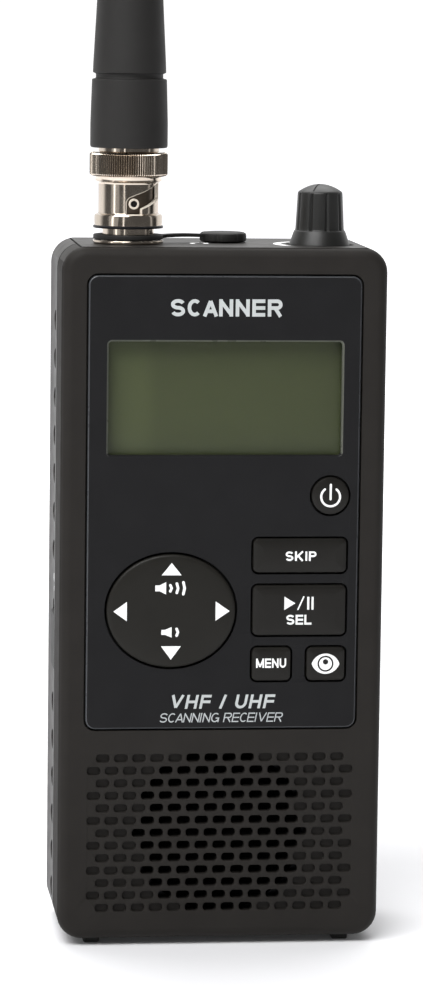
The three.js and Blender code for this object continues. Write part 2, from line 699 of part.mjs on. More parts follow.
function addUsb() {
  const { front, back, bottom, top, thickness, z } = USB;
  const cover = box(-HALF_WIDTH, -HALF_WIDTH + thickness, front, back, bottom, top);
  add('usb_cover', cover, RUBBER);
  const depth = 18.1;
  const shell = box(-28, -21, depth - 2, depth + 2, z - 3.9, z + 3.9);
  const mouth = box(-29, -22, depth - 1.6, depth + 1.6, z - 3.5, z + 3.5);
  const tongue = box(-26.8, -21.5, depth - 0.4, depth + 0.4, z - 2.4, z + 2.4);
  add('usb_socket', shell.subtract(mouth).add(tongue), STEEL);
}

function addBeltClip() {
  const { depth, z } = CLIP_PIVOT;
  const plate = slab(grown(CLIP_BASE, 0), CASE_DEPTH + 0.1, CASE_DEPTH + 1.7);
  const ears = [-9, 7.6].map((left) => box(
    left, left + 1.4, CASE_DEPTH + 1, depth + 1.3, z - 2.5, z + 2.5,
  ));
  add('clip_base', cutBy(joined([plate, ...ears]), [
    crossPin(depth, z, 0.9, -12, 12),
    ...CLIP_SCREW_Z.map((height) => peg(0, height, 1.1, 30, 40)),
  ]), KEY_BLACK);
  const lever = slab(
    roundedRect(-CLIP_HALF_WIDTH, CLIP_BOTTOM, CLIP_HALF_WIDTH, CLIP_TOP, 2), CLIP_FRONT, CLIP_BACK,
  );
  const lip = box(-6, 6, 33.6, CLIP_FRONT + 1, CLIP_BOTTOM + 0.6, CLIP_BOTTOM + 2.6);
  const hubs = [-7.2, 4.2].map((left) => box(
    left, left + 3, depth - 1.3, CLIP_FRONT + 1, z - 1.5, z + 1.5,
  ));
  const trunnion = crossPin(depth, z, 0.7, -8.9, 8.9);
  add('belt_clip', joined([lever, lip, ...hubs, trunnion]), KEY_BLACK);
  add('clip_spring', solid(
    coil(1.15, 0.25, -3.3, 3.3, 5).rotateY(Math.PI / 2).translate(0, depth, z),
  ), STEEL);
  CLIP_SCREW_Z.forEach((height, i) => {
    const screw = peg(0, height, 0.9, 24, 33).add(peg(0, height, 1.9, 32.9, 33.9));
    add(`clip_screw_${i + 1}`, screw, STEEL);
  });
}

function addScrewsAndFeet() {
  SCREWS.forEach(({ x, z }, i) => {
    const screw = peg(x, z, 1.05, 5.6, 29).add(peg(x, z, 2.2, 28.7, 30.3));
    add(`case_screw_${i + 1}`, screw, STEEL);
  });
  let number = 1;
  for (const front of FOOT_DEPTHS) {
    for (const x of [-FOOT_X, FOOT_X]) {
      const pad = box(x - 1.5, x + 1.5, front, front + 4.5, 0, FOOT_HEIGHT - 0.1);
      add(`foot_${number}`, pad, FOOT_GREY);
      number += 1;
    }
  }
}

addFrontCover();
addFrontPanel();
addDisplay();
addKeys();
addPad();
addBoards();
addSpeaker();
addRearShell();
addTopPlate();
addKnob();
addEarphoneSocket();
addJack();
addCoupling();
addAntenna();
addJackCap();
addPower();
addDoor();
addUsb();
addBeltClip();
addScrewsAndFeet();

scanner.position.y = -MIDDLE_DEPTH;

export default scanner;
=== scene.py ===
import math

import bmesh
import bpy
from mathutils import Matrix, Vector

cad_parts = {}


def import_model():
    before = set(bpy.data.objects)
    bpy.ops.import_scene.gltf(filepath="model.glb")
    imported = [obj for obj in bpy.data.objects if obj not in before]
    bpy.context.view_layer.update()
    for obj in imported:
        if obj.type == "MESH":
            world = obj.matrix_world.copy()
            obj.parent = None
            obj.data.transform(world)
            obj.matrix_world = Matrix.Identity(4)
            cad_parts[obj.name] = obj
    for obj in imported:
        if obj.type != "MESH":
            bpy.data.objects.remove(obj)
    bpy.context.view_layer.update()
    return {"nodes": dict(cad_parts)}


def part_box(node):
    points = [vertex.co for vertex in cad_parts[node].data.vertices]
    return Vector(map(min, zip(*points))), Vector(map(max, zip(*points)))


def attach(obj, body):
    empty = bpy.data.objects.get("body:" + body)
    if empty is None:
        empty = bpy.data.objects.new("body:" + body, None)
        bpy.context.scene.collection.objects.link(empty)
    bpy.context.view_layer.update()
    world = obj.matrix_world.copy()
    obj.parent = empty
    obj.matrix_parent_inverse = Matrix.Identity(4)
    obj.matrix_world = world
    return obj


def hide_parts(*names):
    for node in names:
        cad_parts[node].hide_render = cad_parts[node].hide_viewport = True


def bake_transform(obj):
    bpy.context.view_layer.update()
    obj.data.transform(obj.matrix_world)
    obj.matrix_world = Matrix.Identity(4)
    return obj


# Handheld scanner on a pale floor. Lengths in this file are millimetres: x to the right,
# depth behind the front face, z above the floor. at() turns them into the frame's metres.
# Boxes are (left, bottom, right, top, corner radius).

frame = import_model()

MM = 0.001
FRONT_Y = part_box("front_cover")[0].y

# Case
CASE = (-30, 1.3, 30, 130, 4.5)
CASE_DEPTH = 31
CASE_FILLET = 2
FILLET_STEPS = 10
WALL = 2
FRONT_WALL = 2.8
PARTING = 12
PARTING_GAP = 0.3
PARTING_CHAMFER = 0.4
LIP = (WALL + 0.02, WALL + 0.5)
LIP_REACH = 1.1
GAP = 0.3
SHARP_ANGLE = math.radians(38)
# Faces of the front cover turned further left than this get the painted shade
PAINTED_SHADE_FACING = 0.9
FEET = [(-23.4, 3.5), (23.4, 3.5), (-23.4, 23), (23.4, 23)]
FOOT_SIZE = (3, 4.5, 1.32)

# Front
PANEL = (-25.15, 41, 25.15, 124.9, 1.8)
PANEL_THICKNESS = 1.2
PANEL_RIM = 0.22
PANEL_GROOVE = 0.3
PANEL_SEAT = 1.5
WINDOW = (-21.7, 91.6, 22, 113.1, 0.9)
WINDOW_RIM = 0.3
WINDOW_LIP = 0.8
KEYS = {
    "skip": (5.6, 70.1, 23, 76.5, 1),
    "select": (5.6, 58.4, 23, 67.8, 1),
    "menu": (5.6, 49.9, 12.9, 56.2, 1),
    "watch": (15.8, 49.9, 23, 56.2, 1),
}
POWER = (19.8, 84.4, 3.5, 3.5)
PAD = (-9.5, 63.1, 11.9, 10.5)
KEY_PROUD = 0.4
KEY_EDGE = 0.45

# Speaker grille
SPEAKER_Z = 21.45
OPEN_RADIUS = 15.5
ROWS = 13
ROW_PITCH = 2.35
SLOT_PITCH = 3.36
SLOT_SIZE = (2.5, 1.55)
SLOT_CORNER = 0.62
BLIND_DEPTH = 0.85

# Top
TOP_PLATE = (-26.3, 1.5, 26.3, 29.3, 0.8)
TOP_PLATE_BOTTOM = 128
CASE_TOP = 130
KNOB = (18.7, 12)
KNOB_WELL = 6.4
SHAFT_HOLE = 3.3
EARPHONE = (1.3, 17.5)
EARPHONE_HOLE = 3.2
JACK = (-17, 12)
JACK_HOLE = 5.1

# Volume knob
KNOB_FLUTES = 9
FLUTE_DEPTH = 0.3
FLUTE_SPAN = (132.7, 139.55)
KNOB_TOP = 141.2
KNOB_DOME = 0.0866
KNOB_SHOULDER = 3.8
POINTER_TURN = math.radians(-117)
POINTER_HALF_WIDTH = 0.13

# Connector
JACK_RADIUS = 4.8
# Above this height the jack is inside the coupling nut and its nickel is painted darker: painted
# shade
JACK_SHADE_SPLIT = 134.5
LUG_Z = 137.5
LUG_ANGLE = -84.3
LUG_ANGLES = (LUG_ANGLE, LUG_ANGLE + 180)
BORE_RADIUS = 4.95
BARREL_RADIUS = 5.6
KNURL_DEPTH = 0.26
KNURL_TEETH = 100
SLOT_BOTTOM = 135.6
SLOT_CHAMFER = 0.18
SLOT_HALF_WIDTH = 1.3
SLOT_RISE_PER_DEGREE = 0.036
SLOT_SWEEP = 64
SLOT_RADIUS = 5.3
RAMP_REACH = 9

# Cap over the earphone socket
STRAP_HALF_WIDTH = 1.15
STRAP_FLARE = 0.9
STRAP_SPAN = (130.95, 131.55)
SCALLOP_DEPTH = 0.28

# Prints
PRINT_THICKNESS = 0.02
PRINT_STEP = 0.2
KERN = 0.1

# Back and sides
DOOR = (-18.2, 7.5, 18.2, 66.5, 1)
BAY = (-16, 9, 16, 65.2, 0.5)
BAY_WALL = 1.3
BAY_FLOOR = 13.9
BAY_UNDERSIDE = 12.6
LEDGE_MARGIN = 1.6
LEDGE_DEPTH = 27.4
CELL_RADIUS = 7.15
CELL_LENGTH = 50.5
CELL_X = 7.5
CELL_DEPTH = 21.5
SCREWS = [(-25.2, 6.4), (25.2, 6.4), (-25.2, 119.5), (25.2, 119.5)]
SCREW_HOLE = 2.5
LATCH_WAY = (-4.8, 65, 4.8, 68.5, 0.3)
USB_COVER = (13.6, 49.7, 22.6, 60.3, 0.6)
USB_WAY = (15.9, 50.9, 20.3, 59.1, 0.3)
NAIL_NOTCH = (14, 58, 22.2, 62.3, 0.8)
DIMPLE_DEPTH = 21
DIMPLE_SIZE = (2.8, 1.95)
DIMPLES = [115, 107.8, 100.5, 93.3, 86.1, 78.8, 71.6, 42.5, 35.3, 28.1, 20.9, 13.9, 6.9]
HOLLOW_RADIUS = 55
HOLLOW_DEPTH = 0.4
CLIP_PIVOT = (34.7, 108)
CLIP_HALF_WIDTH = 7.2

# Studio: a pale floor that meets a pale surround behind the scanner; in front of it both
# fade far away to a grey that shows in the bright metal
BEHIND = (0.1, 0.55)
FRONT_LEVEL = 0.1
BACK_LEVEL = 1.1
FLOOR_FADE = (450, 1000)
GLOW = (150, 900)
GLOW_LEVELS = (0.02, 0.95)
CAMERA_PLACE = (-82.4, -706.2, 174.0)
CAMERA_AHEAD = (0.1119, 0.9857, -0.1261)
CAMERA_ROLL = 0.713
CAMERA_LENS = 140.4

# Colour, from 0 to 255
CHARCOAL = (38, 36, 34)
DISPLAY_OLIVE = (63, 69, 44)
# Painted reflection on the display: brightness across the window, paler in an upright band at the
# left
DISPLAY_REFLECTION_BAND = [(0.0, 1.12), (0.07, 1.27), (0.16, 1.24), (0.22, 1.02), (1.0, 0.98)]
REFLECTION_BAND_SCALE = 1.3
NOISE_RANGE = (0.3, 0.7)


def at(x, depth, z):
    return Vector((x * MM, FRONT_Y + depth * MM, z * MM))


# Ways to place an outline (u, v) at a level w
def front_on(u, v, w):
    return at(u, w, v)


def top_on(u, v, w):
    return at(u, v, w)


def left_on(u, v, w):
    return at(CASE[0] + w, u, v)


def side_on(u, v, w):
    return at(w, u, v)


# ---------------------------------------------------------------- outlines and profiles


def rounded(box, inset=0.0, steps=8):
    """Rounded rectangle, pulled in by inset."""
    left, bottom, right, top, radius = box
    r = max(radius - inset, 0.03)
    corners = (
        (right - inset - r, bottom + inset + r, -90),
        (right - inset - r, top - inset - r, 0),
        (left + inset + r, top - inset - r, 90),
        (left + inset + r, bottom + inset + r, 180),
    )
    outline = []
    for x, y, start in corners:
        outline += arc(x, y, r, start, start + 90, steps)
    return outline


def oval(ellipse, inset=0.0, count=96):
    """Ellipse (x, y, radius x, radius y), pulled in by inset."""
    x, y, rx, ry = ellipse
    turns = [2 * math.pi * k / count for k in range(count)]
    return [(x + (rx - inset) * math.cos(t), y + (ry - inset) * math.sin(t)) for t in turns]


def circle(x, y, radius, inset=0.0, count=48):
    return oval((x, y, radius, radius), inset, count)


def bowl(x, y, rx, ry, start, end, count=16):
    """Part of an ellipse, between two angles in degrees."""
    turns = [math.radians(start + (end - start) * k / count) for k in range(count + 1)]
    return [(x + rx * math.cos(t), y + ry * math.sin(t)) for t in turns]


def arc(x, y, radius, start, end, count=24):
    return bowl(x, y, radius, radius, start, end, count)


# Outlines as functions of their inset
def box_shape(box, steps=8):
    return lambda inset: rounded(box, inset, steps)


def oval_shape(ellipse, margin=0.0, count=96):
    return lambda inset: oval(ellipse, inset - margin, count)


def round_shape(x, y, radius, count=48):
    return lambda inset: circle(x, y, radius, inset, count)


def grown(box, margin):
    left, bottom, right, top, radius = box
    return (left - margin, bottom - margin, right + margin, top + margin, radius + margin)


def eased(profile, radius, steps=3):
    """The same profile with its inner corners rounded."""
    corners = [Vector(p) for p in profile]
    out = [corners[0]]
    for before, corner, after in zip(corners, corners[1:], corners[2:]):
        back, ahead = before - corner, after - corner
        reach = min(radius, 0.45 * back.length, 0.45 * ahead.length)
        start = corner + back.normalized() * reach
        end = corner + ahead.normalized() * reach
        for k in range(steps + 1):
            t = k / steps
            out.append(start * (1 - t) ** 2 + corner * 2 * t * (1 - t) + end * t * t)
    out.append(corners[-1])
    return [tuple(p) for p in out]


def case_fillet(level, inward):
    """Quarter round from level on the case's side to the face that lies inward of it."""
    turns = [math.radians(90 * k / FILLET_STEPS) for k in range(FILLET_STEPS + 1)]
    return [
        (CASE_FILLET * (1 - math.cos(t)), level - inward * CASE_FILLET * math.sin(t))
        for t in turns
    ]


# ---------------------------------------------------------------- meshes


class Builder:
    """A mesh made of rings of points that are bridged and filled."""

    def __init__(self, place=front_on):
        self.mesh = bmesh.new()
        self.place = place

    def ring(self, outline, level):
        return [self.mesh.verts.new(self.place(u, v, level)) for u, v in outline]

    def bridge(self, first, second, finish=0):
        for i, corner in enumerate(first):
            j = (i + 1) % len(first)
            face = self.mesh.faces.new((corner, first[j], second[j], second[i]))
            face.material_index = finish

    def wall(self, outline, profile, finishes=None):
        """Bridges the outline through (inset, level) pairs. Returns the first and last ring."""
        rings = [self.ring(outline(inset), level) for inset, level in profile]
        for i, (first, second) in enumerate(zip(rings, rings[1:])):
            self.bridge(first, second, finishes[i] if finishes else 0)
        return rings[0], rings[-1]

    def fill(self, *rings):
        """Flat face between rings: an outer one and any number of holes."""
        edges = set()
        for ring in rings:
            for i, corner in enumerate(ring):
                pair = (ring[i - 1], corner)
                edges.add(self.mesh.edges.get(pair) or self.mesh.edges.new(pair))
        bmesh.ops.triangle_fill(self.mesh, use_beauty=True, edges=list(edges))

    def weld(self):
        bmesh.ops.remove_doubles(self.mesh, verts=self.mesh.verts, dist=1e-7)

    def object(self, name):
        bmesh.ops.recalc_face_normals(self.mesh, faces=self.mesh.faces)
        return linked(name, self.mesh)


def linked(name, mesh):
    """An object in the scene, made from a bmesh that is used up."""
    data = bpy.data.meshes.new(name)
    mesh.to_mesh(data)
    mesh.free()
    made = bpy.data.objects.new(name, data)
    bpy.context.scene.collection.objects.link(made)
    return made


def prism(name, outline, profile, place=front_on, finishes=None):
    """Solid whose outline follows (inset, level) pairs, filled at both ends."""
    build = Builder(place)
    first, last = build.wall(outline, profile, finishes)
    build.fill(first)
    build.fill(last)
    return build.object(name)


def block(box, low, high, place=front_on, edge=0.2, steps=4, name="block"):
    """Rounded slab with eased end edges."""
    profile = [
        (3 * edge, low), (edge, low), (0, low + edge),
        (0, high - edge), (edge, high), (3 * edge, high),
    ]
    return prism(name, box_shape(box, steps), profile, place)


def turned(profile, x, depth, name, segments=96, shape=None, finish=None):
    """Lathe about a vertical axis, with a profile of (radius, z).

    shape may change a radius, and finish picks a face's material number; both are given the
    angle, the radius and z. A profile that ends where it starts is a ring with a bore.
    """
    build = Builder(top_on)
    turns = [2 * math.pi * k / segments for k in range(segments)]

    def outline(radius, z):
        reaches = [shape(t, radius, z) if shape else radius for t in turns]
        return [
            (x + r * math.cos(t), depth + r * math.sin(t)) for r, t in zip(reaches, turns)
        ]

    rings = [build.ring(outline(max(r, 0.01), z), z) for r, z in profile]
    for (radius, z), first, second in zip(profile, rings, rings[1:]):
        for k in range(segments):
            j = (k + 1) % segments
            face = build.mesh.faces.new((first[k], first[j], second[j], second[k]))
            if finish:
                face.material_index = finish(2 * math.pi * (k + 0.5) / segments, radius, z)
    if profile[0] == profile[-1]:
        build.weld()
    else:
        build.fill(rings[0])
        build.fill(rings[-1])
    return build.object(name)


def carve(piece, cutter):
    """Cuts another object's shape out of a piece, and removes that object."""
    change = piece.modifiers.new("carve", "BOOLEAN")
    change.operation = "DIFFERENCE"
    change.solver = "EXACT"
    change.object = cutter
    evaluated = piece.evaluated_get(bpy.context.evaluated_depsgraph_get())
    data = bpy.data.meshes.new_from_object(evaluated)
    piece.modifiers.clear()
    piece.data = data
    bpy.data.objects.remove(cutter)


def merged(name, *parts):
    """One object from several."""
    mesh = bmesh.new()
    for part in parts:
        mesh.from_mesh(part.data)
        bpy.data.objects.remove(part)
    return linked(name, mesh)


def place_piece(piece, body, materials, nodes=()):
    """Shades a piece, gives it its materials and puts it on a CAD body."""
    data = piece.data
    for one in materials if isinstance(materials, list) else [materials]:
        data.materials.append(one)
    data.polygons.foreach_set("use_smooth", [True] * len(data.polygons))
    data.set_sharp_from_angle(angle=SHARP_ANGLE)
    weighted = piece.modifiers.new("weighted", "WEIGHTED_NORMAL")
    weighted.keep_sharp = True
    weighted.weight = 80
    if body:
        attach(piece, body)
    if nodes:
        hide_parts(*nodes)


# ---------------------------------------------------------------- materials


def linear(colour):
    """sRGB 0 to 255 to linear 0 to 1."""
    parts = [c / 255 for c in colour]
    return tuple(c / 12.92 if c < 0.04045 else ((c + 0.055) / 1.055) ** 2.4 for c in parts)


def set_inputs(tree, made, inputs):
    """Gives a node's inputs a value each, or links them to another node's output."""
    for key, value in inputs.items():
        if isinstance(value, bpy.types.NodeSocket):
            tree.links.new(value, made.inputs[key])
        else:
            made.inputs[key].default_value = value


def node(tree, kind, inputs, **settings):
    made = tree.nodes.new("ShaderNode" + kind)
    for key, value in settings.items():
        setattr(made, key, value)
    set_inputs(tree, made, inputs)
    return made


def place_of(tree, space="Object"):
    return node(tree, "TexCoord", {}).outputs[space]


def scaled(tree, colour, factor):
    made = node(tree, "VectorMath", {0: colour, "Scale": factor}, operation="SCALE")
    return made.outputs["Vector"]


def mapped(tree, value, source, result, way="LINEAR"):
    """Maps a value from the source range to the result range."""
    made = node(tree, "MapRange", {
        "Value": value, "From Min": source[0], "From Max": source[1],
        "To Min": result[0], "To Max": result[1],
    }, interpolation_type=way)
    return made.outputs["Result"]


def noise(tree, size, low=None, high=None, detail=3.0, stretch=(1, 1, 1)):
    """Noise whose features are about size millimetres, from low to high if they are given."""
    where = node(tree, "Mapping", {"Vector": place_of(tree), "Scale": stretch})
    made = node(tree, "TexNoise", {
        "Vector": where.outputs["Vector"], "Scale": 1 / (size * MM), "Detail": detail,
    })
    if low is None:
        return made.outputs["Fac"]
    return mapped(tree, made.outputs["Fac"], NOISE_RANGE, (low, high))


def material(name, colour, roughness, metallic=0.0, mottle=0.06, mottle_size=5.0,
             grain=0.0, grain_size=0.25, specular=0.5, alpha=1.0, vary=0.04,
             stretch=(1, 1, 1)):
    """Principled material with noise in its colour, roughness and surface."""
    made = bpy.data.materials.new(name)
    made.use_nodes = True
    tree = made.node_tree
    shader = tree.nodes["Principled BSDF"]
    shade = noise(tree, mottle_size, 1 - mottle, 1 + mottle, stretch=stretch)
    rough = noise(
        tree, mottle_size * 0.6, max(roughness - vary, 0.02), roughness + vary, stretch=stretch,
    )
    set_inputs(tree, shader, {
        "Base Color": scaled(tree, linear(colour), shade), "Roughness": rough,
        "Metallic": metallic, "Specular IOR Level": specular, "Alpha": alpha,
    })
    if grain:
        bump = node(tree, "Bump", {
            "Strength": grain, "Distance": 0.03 * MM,
            "Height": noise(tree, grain_size, detail=2.0),
        })
        set_inputs(tree, shader, {"Normal": bump.outputs["Normal"]})
    return made


COVER = material("cover_plastic", CHARCOAL, 0.52, grain=0.25, specular=0.1)
# Painted shade: a darker, duller copy of the cover plastic for the faces turned to the left
COVER_LEFT_PAINTED_SHADE = material("cover_left_painted_shade", (36, 34, 32), 0.6, grain=0.25, specular=0.04)
SHELL = material("shell_plastic", CHARCOAL, 0.45, grain=0.15, specular=0.25)
PANEL_FACE = material("panel_face", (29, 29, 30), 0.45, grain=0.1, specular=0.08)
# Painted highlight: a paler colour for the chamfered rim of the front panel
PANEL_EDGE_HIGHLIGHT = material("panel_edge_painted_highlight", (64, 66, 69), 0.3)
# Painted highlight: a paler colour for the rim round the display window
WINDOW_EDGE_HIGHLIGHT = material("window_edge_painted_highlight", (80, 82, 74), 0.3)
KEY = material("key_plastic", (29, 28, 26), 0.32, specular=0.15, grain=0.08)
PAD_PLASTIC = material("pad_plastic", (30, 29, 26), 0.38, specular=0.15, grain=0.08)
KNOB_PLASTIC = material("knob_plastic", (31, 31, 30), 0.4, specular=0.4, grain=0.1)
RUBBER = material("rubber", (31, 30, 29), 0.6, specular=0.3, grain=0.3, grain_size=0.3)
FOOT = material("foot_rubber", (44, 44, 43), 0.75, specular=0.3, grain=0.3)
CLEAR = material("clear_window", (160, 168, 158), 0.04, metallic=1, alpha=0.045, mottle=0.01,
                 vary=0.01)
NICKEL = material("nickel", (206, 194, 180), 0.13, metallic=1, mottle=0.05, mottle_size=2,
                  stretch=(1, 1, 0.2))
# Painted shade: darker nickel for the jack where it sits inside the coupling nut
JACK_NICKEL_SHADED = material("jack_nickel_painted_shade", (92, 82, 72), 0.35, metallic=1, mottle=0.08,
                       mottle_size=1)
# Painted highlight: near-white, nearly matte nickel for the bayonet studs' rims and the nut's slot
# walls
NICKEL_PAINTED_HIGHLIGHT = material("satin_nickel_painted_highlight", (216, 206, 192), 0.5, metallic=0.1, mottle=0.02,
                        mottle_size=1)
# Painted shade: darker, blotchy nickel for the valleys of the coupling nut's knurl
KNURL_NICKEL_SHADED = material("knurl_nickel_painted_shade", (92, 82, 70), 0.4, metallic=1, mottle=0.2,
                         mottle_size=0.6)
BRASS = material("brass", (184, 140, 78), 0.3, metallic=1, mottle=0.08)
STEEL = material("steel", (150, 152, 155), 0.34, metallic=1)
BOARD = material("circuit_board", (24, 66, 40), 0.5, mottle=0.15, mottle_size=2)
WHITE_PLASTIC = material("white_plastic", (226, 224, 218), 0.45)
CELL = material("cell_sleeve", (52, 70, 104), 0.3, mottle=0.04)
PAPER = material("speaker_paper", (20, 20, 20), 0.9, grain=0.4, specular=0.2)
DARK_METAL = material("blackened_steel", (40, 40, 42), 0.4, metallic=1)
PRINT = material("white_print", (246, 247, 247), 0.5, mottle=0.02, specular=0.3)
SILVER_PRINT = material("silver_print", (186, 190, 190), 0.42, mottle=0.03, specular=0.4)
GREY_PRINT = material("grey_print", (176, 180, 182), 0.45, mottle=0.03, specular=0.3)


def display_material():
    """Olive liquid crystal, with a painted reflection: a little paler in a soft upright band at the
    left.
    """
    made = material("display", DISPLAY_OLIVE, 0.35, mottle=0.005, mottle_size=12, specular=0.3,
                    vary=0.0)
    tree = made.node_tree
    shader = tree.nodes["Principled BSDF"]
    across = node(tree, "SeparateXYZ", {"Vector": place_of(tree)}).outputs["X"]
    edges = (WINDOW[0] * MM, WINDOW[2] * MM)
    # The ramp paints the reflection: paler in an upright band at the left of the window
    band = node(tree, "ValToRGB", {"Fac": mapped(tree, across, edges, (0, 1))})
    ramp = band.color_ramp
    while len(ramp.elements) < len(DISPLAY_REFLECTION_BAND):
        ramp.elements.new(0.5)
    for element, (position, value) in zip(ramp.elements, DISPLAY_REFLECTION_BAND):
        level = value / REFLECTION_BAND_SCALE
        element.position = position
        element.color = (level, level, level, 1)
    mixed = node(tree, "Mix", {
        "Factor": 1, "A": shader.inputs["Base Color"].links[0].from_socket,
        "B": band.outputs["Color"],
    }, data_type="RGBA", blend_type="MULTIPLY")
    colour = scaled(tree, mixed.outputs["Result"], REFLECTION_BAND_SCALE)
    set_inputs(tree, shader, {"Base Color": colour})
    return made


DISPLAY = display_material()

# ---------------------------------------------------------------- shells


def grille_slots():
    """(outline box, goes right through) for every slot of the grille."""
    length, height = SLOT_SIZE
    found = []
    for row in range(ROWS):
        z = SPEAKER_Z + (row - (ROWS - 1) / 2) * ROW_PITCH
        columns = range(-7, 7) if row % 2 == 0 else range(-7, 8)
        shift = SLOT_PITCH / 2 if row % 2 == 0 else 0
        for column in columns:
            x = column * SLOT_PITCH + shift
            through = math.hypot(x, z - SPEAKER_Z) < OPEN_RADIUS
            low, high = (x - length / 2, z - height / 2), (x + length / 2, z + height / 2)
            found.append(((*low, *high, SLOT_CORNER), through))
    return found


def top_cutters():
    """Room for the top plate, and the holes below it."""
    room = prism(
        "plate_room", box_shape(grown(TOP_PLATE, GAP)),
        [(0, TOP_PLATE_BOTTOM - GAP), (0, CASE_TOP + 1)], top_on,
    )
    holes = [
        turned([(radius, 120), (radius, 129)], *place, "hole", 48)
        for place, radius in ((JACK, JACK_HOLE), (KNOB, SHAFT_HOLE), (EARPHONE, EARPHONE_HOLE))
    ]
    return [room, *holes]


def front_cover():
    build = Builder()
    outline = box_shape(CASE)
    outer = [(WALL, PARTING), (PARTING_CHAMFER, PARTING), (0, PARTING - PARTING_CHAMFER)]
    outer += case_fillet(CASE_FILLET, 1) + [(CASE_FILLET + 0.15, 0)]
    _, face = build.wall(outline, outer)
    recess = grown(PANEL, PANEL_GROOVE)
    floor = PANEL_THICKNESS + GAP
    _, seat = build.wall(box_shape(recess), [
        (-0.12, 0), (-0.04, 0.04), (0, 0.14), (0, floor), (PANEL_SEAT, floor),
        (PANEL_SEAT, FRONT_WALL),
    ])
    openings = [build.ring(rounded(recess, -0.12), 0)]
    backs = [seat]
    for box, through in grille_slots():
        depth = FRONT_WALL if through else BLIND_DEPTH
        first, last = build.wall(
            box_shape(box, 5), [(-0.06, 0), (-0.02, 0.02), (0, 0.08), (0.02, depth)],
        )
        openings.append(first)
        if through:
            backs.append(last)
        else:
            build.fill(last)
    build.fill(face, *openings)
    _, inside = build.wall(outline, [(WALL, PARTING), (WALL, FRONT_WALL)])
    build.fill(inside, *backs)
    build.weld()
    piece = build.object("front_cover_shell")
    for cutter in top_cutters():
        carve(piece, cutter)
    # Faces turned to the left get the darker, duller copy of the cover plastic: painted shade
    for face in piece.data.polygons:
        if face.normal.x < -PAINTED_SHADE_FACING:
            face.material_index = 1
    place_piece(piece, "case", [COVER, COVER_LEFT_PAINTED_SHADE], ["front_cover"])


def dimples(side):
    """Shallow oval hollows for the fingers; the USB cover takes the left side's middle."""
    low, high = USB_COVER[1] - 3, USB_COVER[3] + 3
    steps = [(-0.2, -0.4), (0, 0.6), (0.12, 1.1), (0.45, 1.5), (0.9, 1.65), (1.5, 1.7)]
    return merged("dimples", *[
        prism(
            "dimple", oval_shape((DIMPLE_DEPTH, z, *DIMPLE_SIZE), 0, 32), steps,
            lambda u, v, w: at(side * (CASE[2] + 0.25 - w), u, v),
        )
        for z in DIMPLES if side > 0 or not low < z < high
    ])


def side_hollow(side):
    """Long shallow hollow down a side of the rear shell."""
    middle = CASE[2] + HOLLOW_RADIUS - HOLLOW_DEPTH
    shape = round_shape(side * middle, DIMPLE_DEPTH + 0.3, HOLLOW_RADIUS, 720)
    return prism("hollow", shape, [(0, 3), (0, 127)], top_on)


def rear_shell():
    build = Builder()
    outline = box_shape(CASE)
    start = PARTING + PARTING_GAP
    back_inside = CASE_DEPTH - WALL
    lip_end, lip_root = PARTING - LIP_REACH, start + LIP_REACH
    outer = [(LIP[1], lip_end), (LIP[0], lip_end), (LIP[0], start)]
    outer += [(PARTING_CHAMFER, start), (0, start + PARTING_CHAMFER)]
    outer += case_fillet(CASE_DEPTH - CASE_FILLET, -1) + [(CASE_FILLET + 0.15, CASE_DEPTH)]
    _, face = build.wall(outline, outer)
    door_room = box_shape(grown(DOOR, GAP))
    room, _ = build.wall(door_room, [(0, CASE_DEPTH), (0, back_inside)])
    _, bay_rim = build.wall(door_room, [(0, back_inside), (0.8, back_inside)])
    bay_top, bay_floor = build.wall(box_shape(BAY), [(0, back_inside), (0, BAY_FLOOR)])
    build.fill(bay_rim, bay_top)
    build.fill(bay_floor)
    holes = []
    inner_holes = []
    for x, z in SCREWS:
        first, last = build.wall(
            round_shape(x, z, SCREW_HOLE, 32),
            [(-0.12, CASE_DEPTH), (0, CASE_DEPTH - 0.12), (0, back_inside)],
        )
        holes.append(first)
        inner_holes.append(last)
    build.fill(face, room, *holes)
    _, inside = build.wall(
        outline, [(LIP[1], lip_end), (LIP[1], lip_root), (WALL, lip_root), (WALL, back_inside)],
    )
    ledge, ledge_front = build.wall(
        box_shape(grown(DOOR, LEDGE_MARGIN)), [(0, back_inside), (0, LEDGE_DEPTH)],
    )
    bay_outer, bay_front = build.wall(
        box_shape(grown(BAY, BAY_WALL)), [(0, LEDGE_DEPTH), (0, BAY_UNDERSIDE)],
    )
    build.fill(inside, ledge, *inner_holes)
    build.fill(ledge_front, bay_outer)
    build.fill(bay_front)
    build.weld()
    piece = build.object("rear_cover_shell")
    cutters = top_cutters() + [side_hollow(-1), side_hollow(1), dimples(-1), dimples(1)]
    cutters.append(block(grown(USB_COVER, GAP), -1, 1.6, left_on, 0.02, 4, "usb_room"))
    cutters.append(block(USB_WAY, -1, 6, left_on, 0.02, 2, "usb_way"))
    cutters.append(block(NAIL_NOTCH, -1, 1.5, left_on, 0.1, 4, "nail_notch"))
    cutters.append(block(LATCH_WAY, LEDGE_DEPTH, 33, front_on, 0.02, 2, "latch_way"))
    for cutter in cutters:
        carve(piece, cutter)
    place_piece(piece, "case", SHELL, ["rear_shell"])


def top_plate():
    build = Builder(top_on)
    edge = [(0, CASE_TOP - 0.15), (0.05, CASE_TOP - 0.04), (0.15, CASE_TOP)]
    under, over = build.wall(box_shape(TOP_PLATE), [(0, TOP_PLATE_BOTTOM), *edge])
    unders, overs = [under], [over]
    for place, radius in ((JACK, JACK_HOLE), (KNOB, KNOB_WELL), (EARPHONE, EARPHONE_HOLE)):
        first, last = build.wall(
            round_shape(*place, radius),
            [(0, TOP_PLATE_BOTTOM), (0, CASE_TOP - 0.15), (-0.15, CASE_TOP)],
        )
        unders.append(first)
        overs.append(last)
    build.fill(*unders)
    build.fill(*overs)
    plate = build.object("top_cover_plate")
    place_piece(plate, "case", SHELL, ["top_plate"])


# ---------------------------------------------------------------- front panel and keys


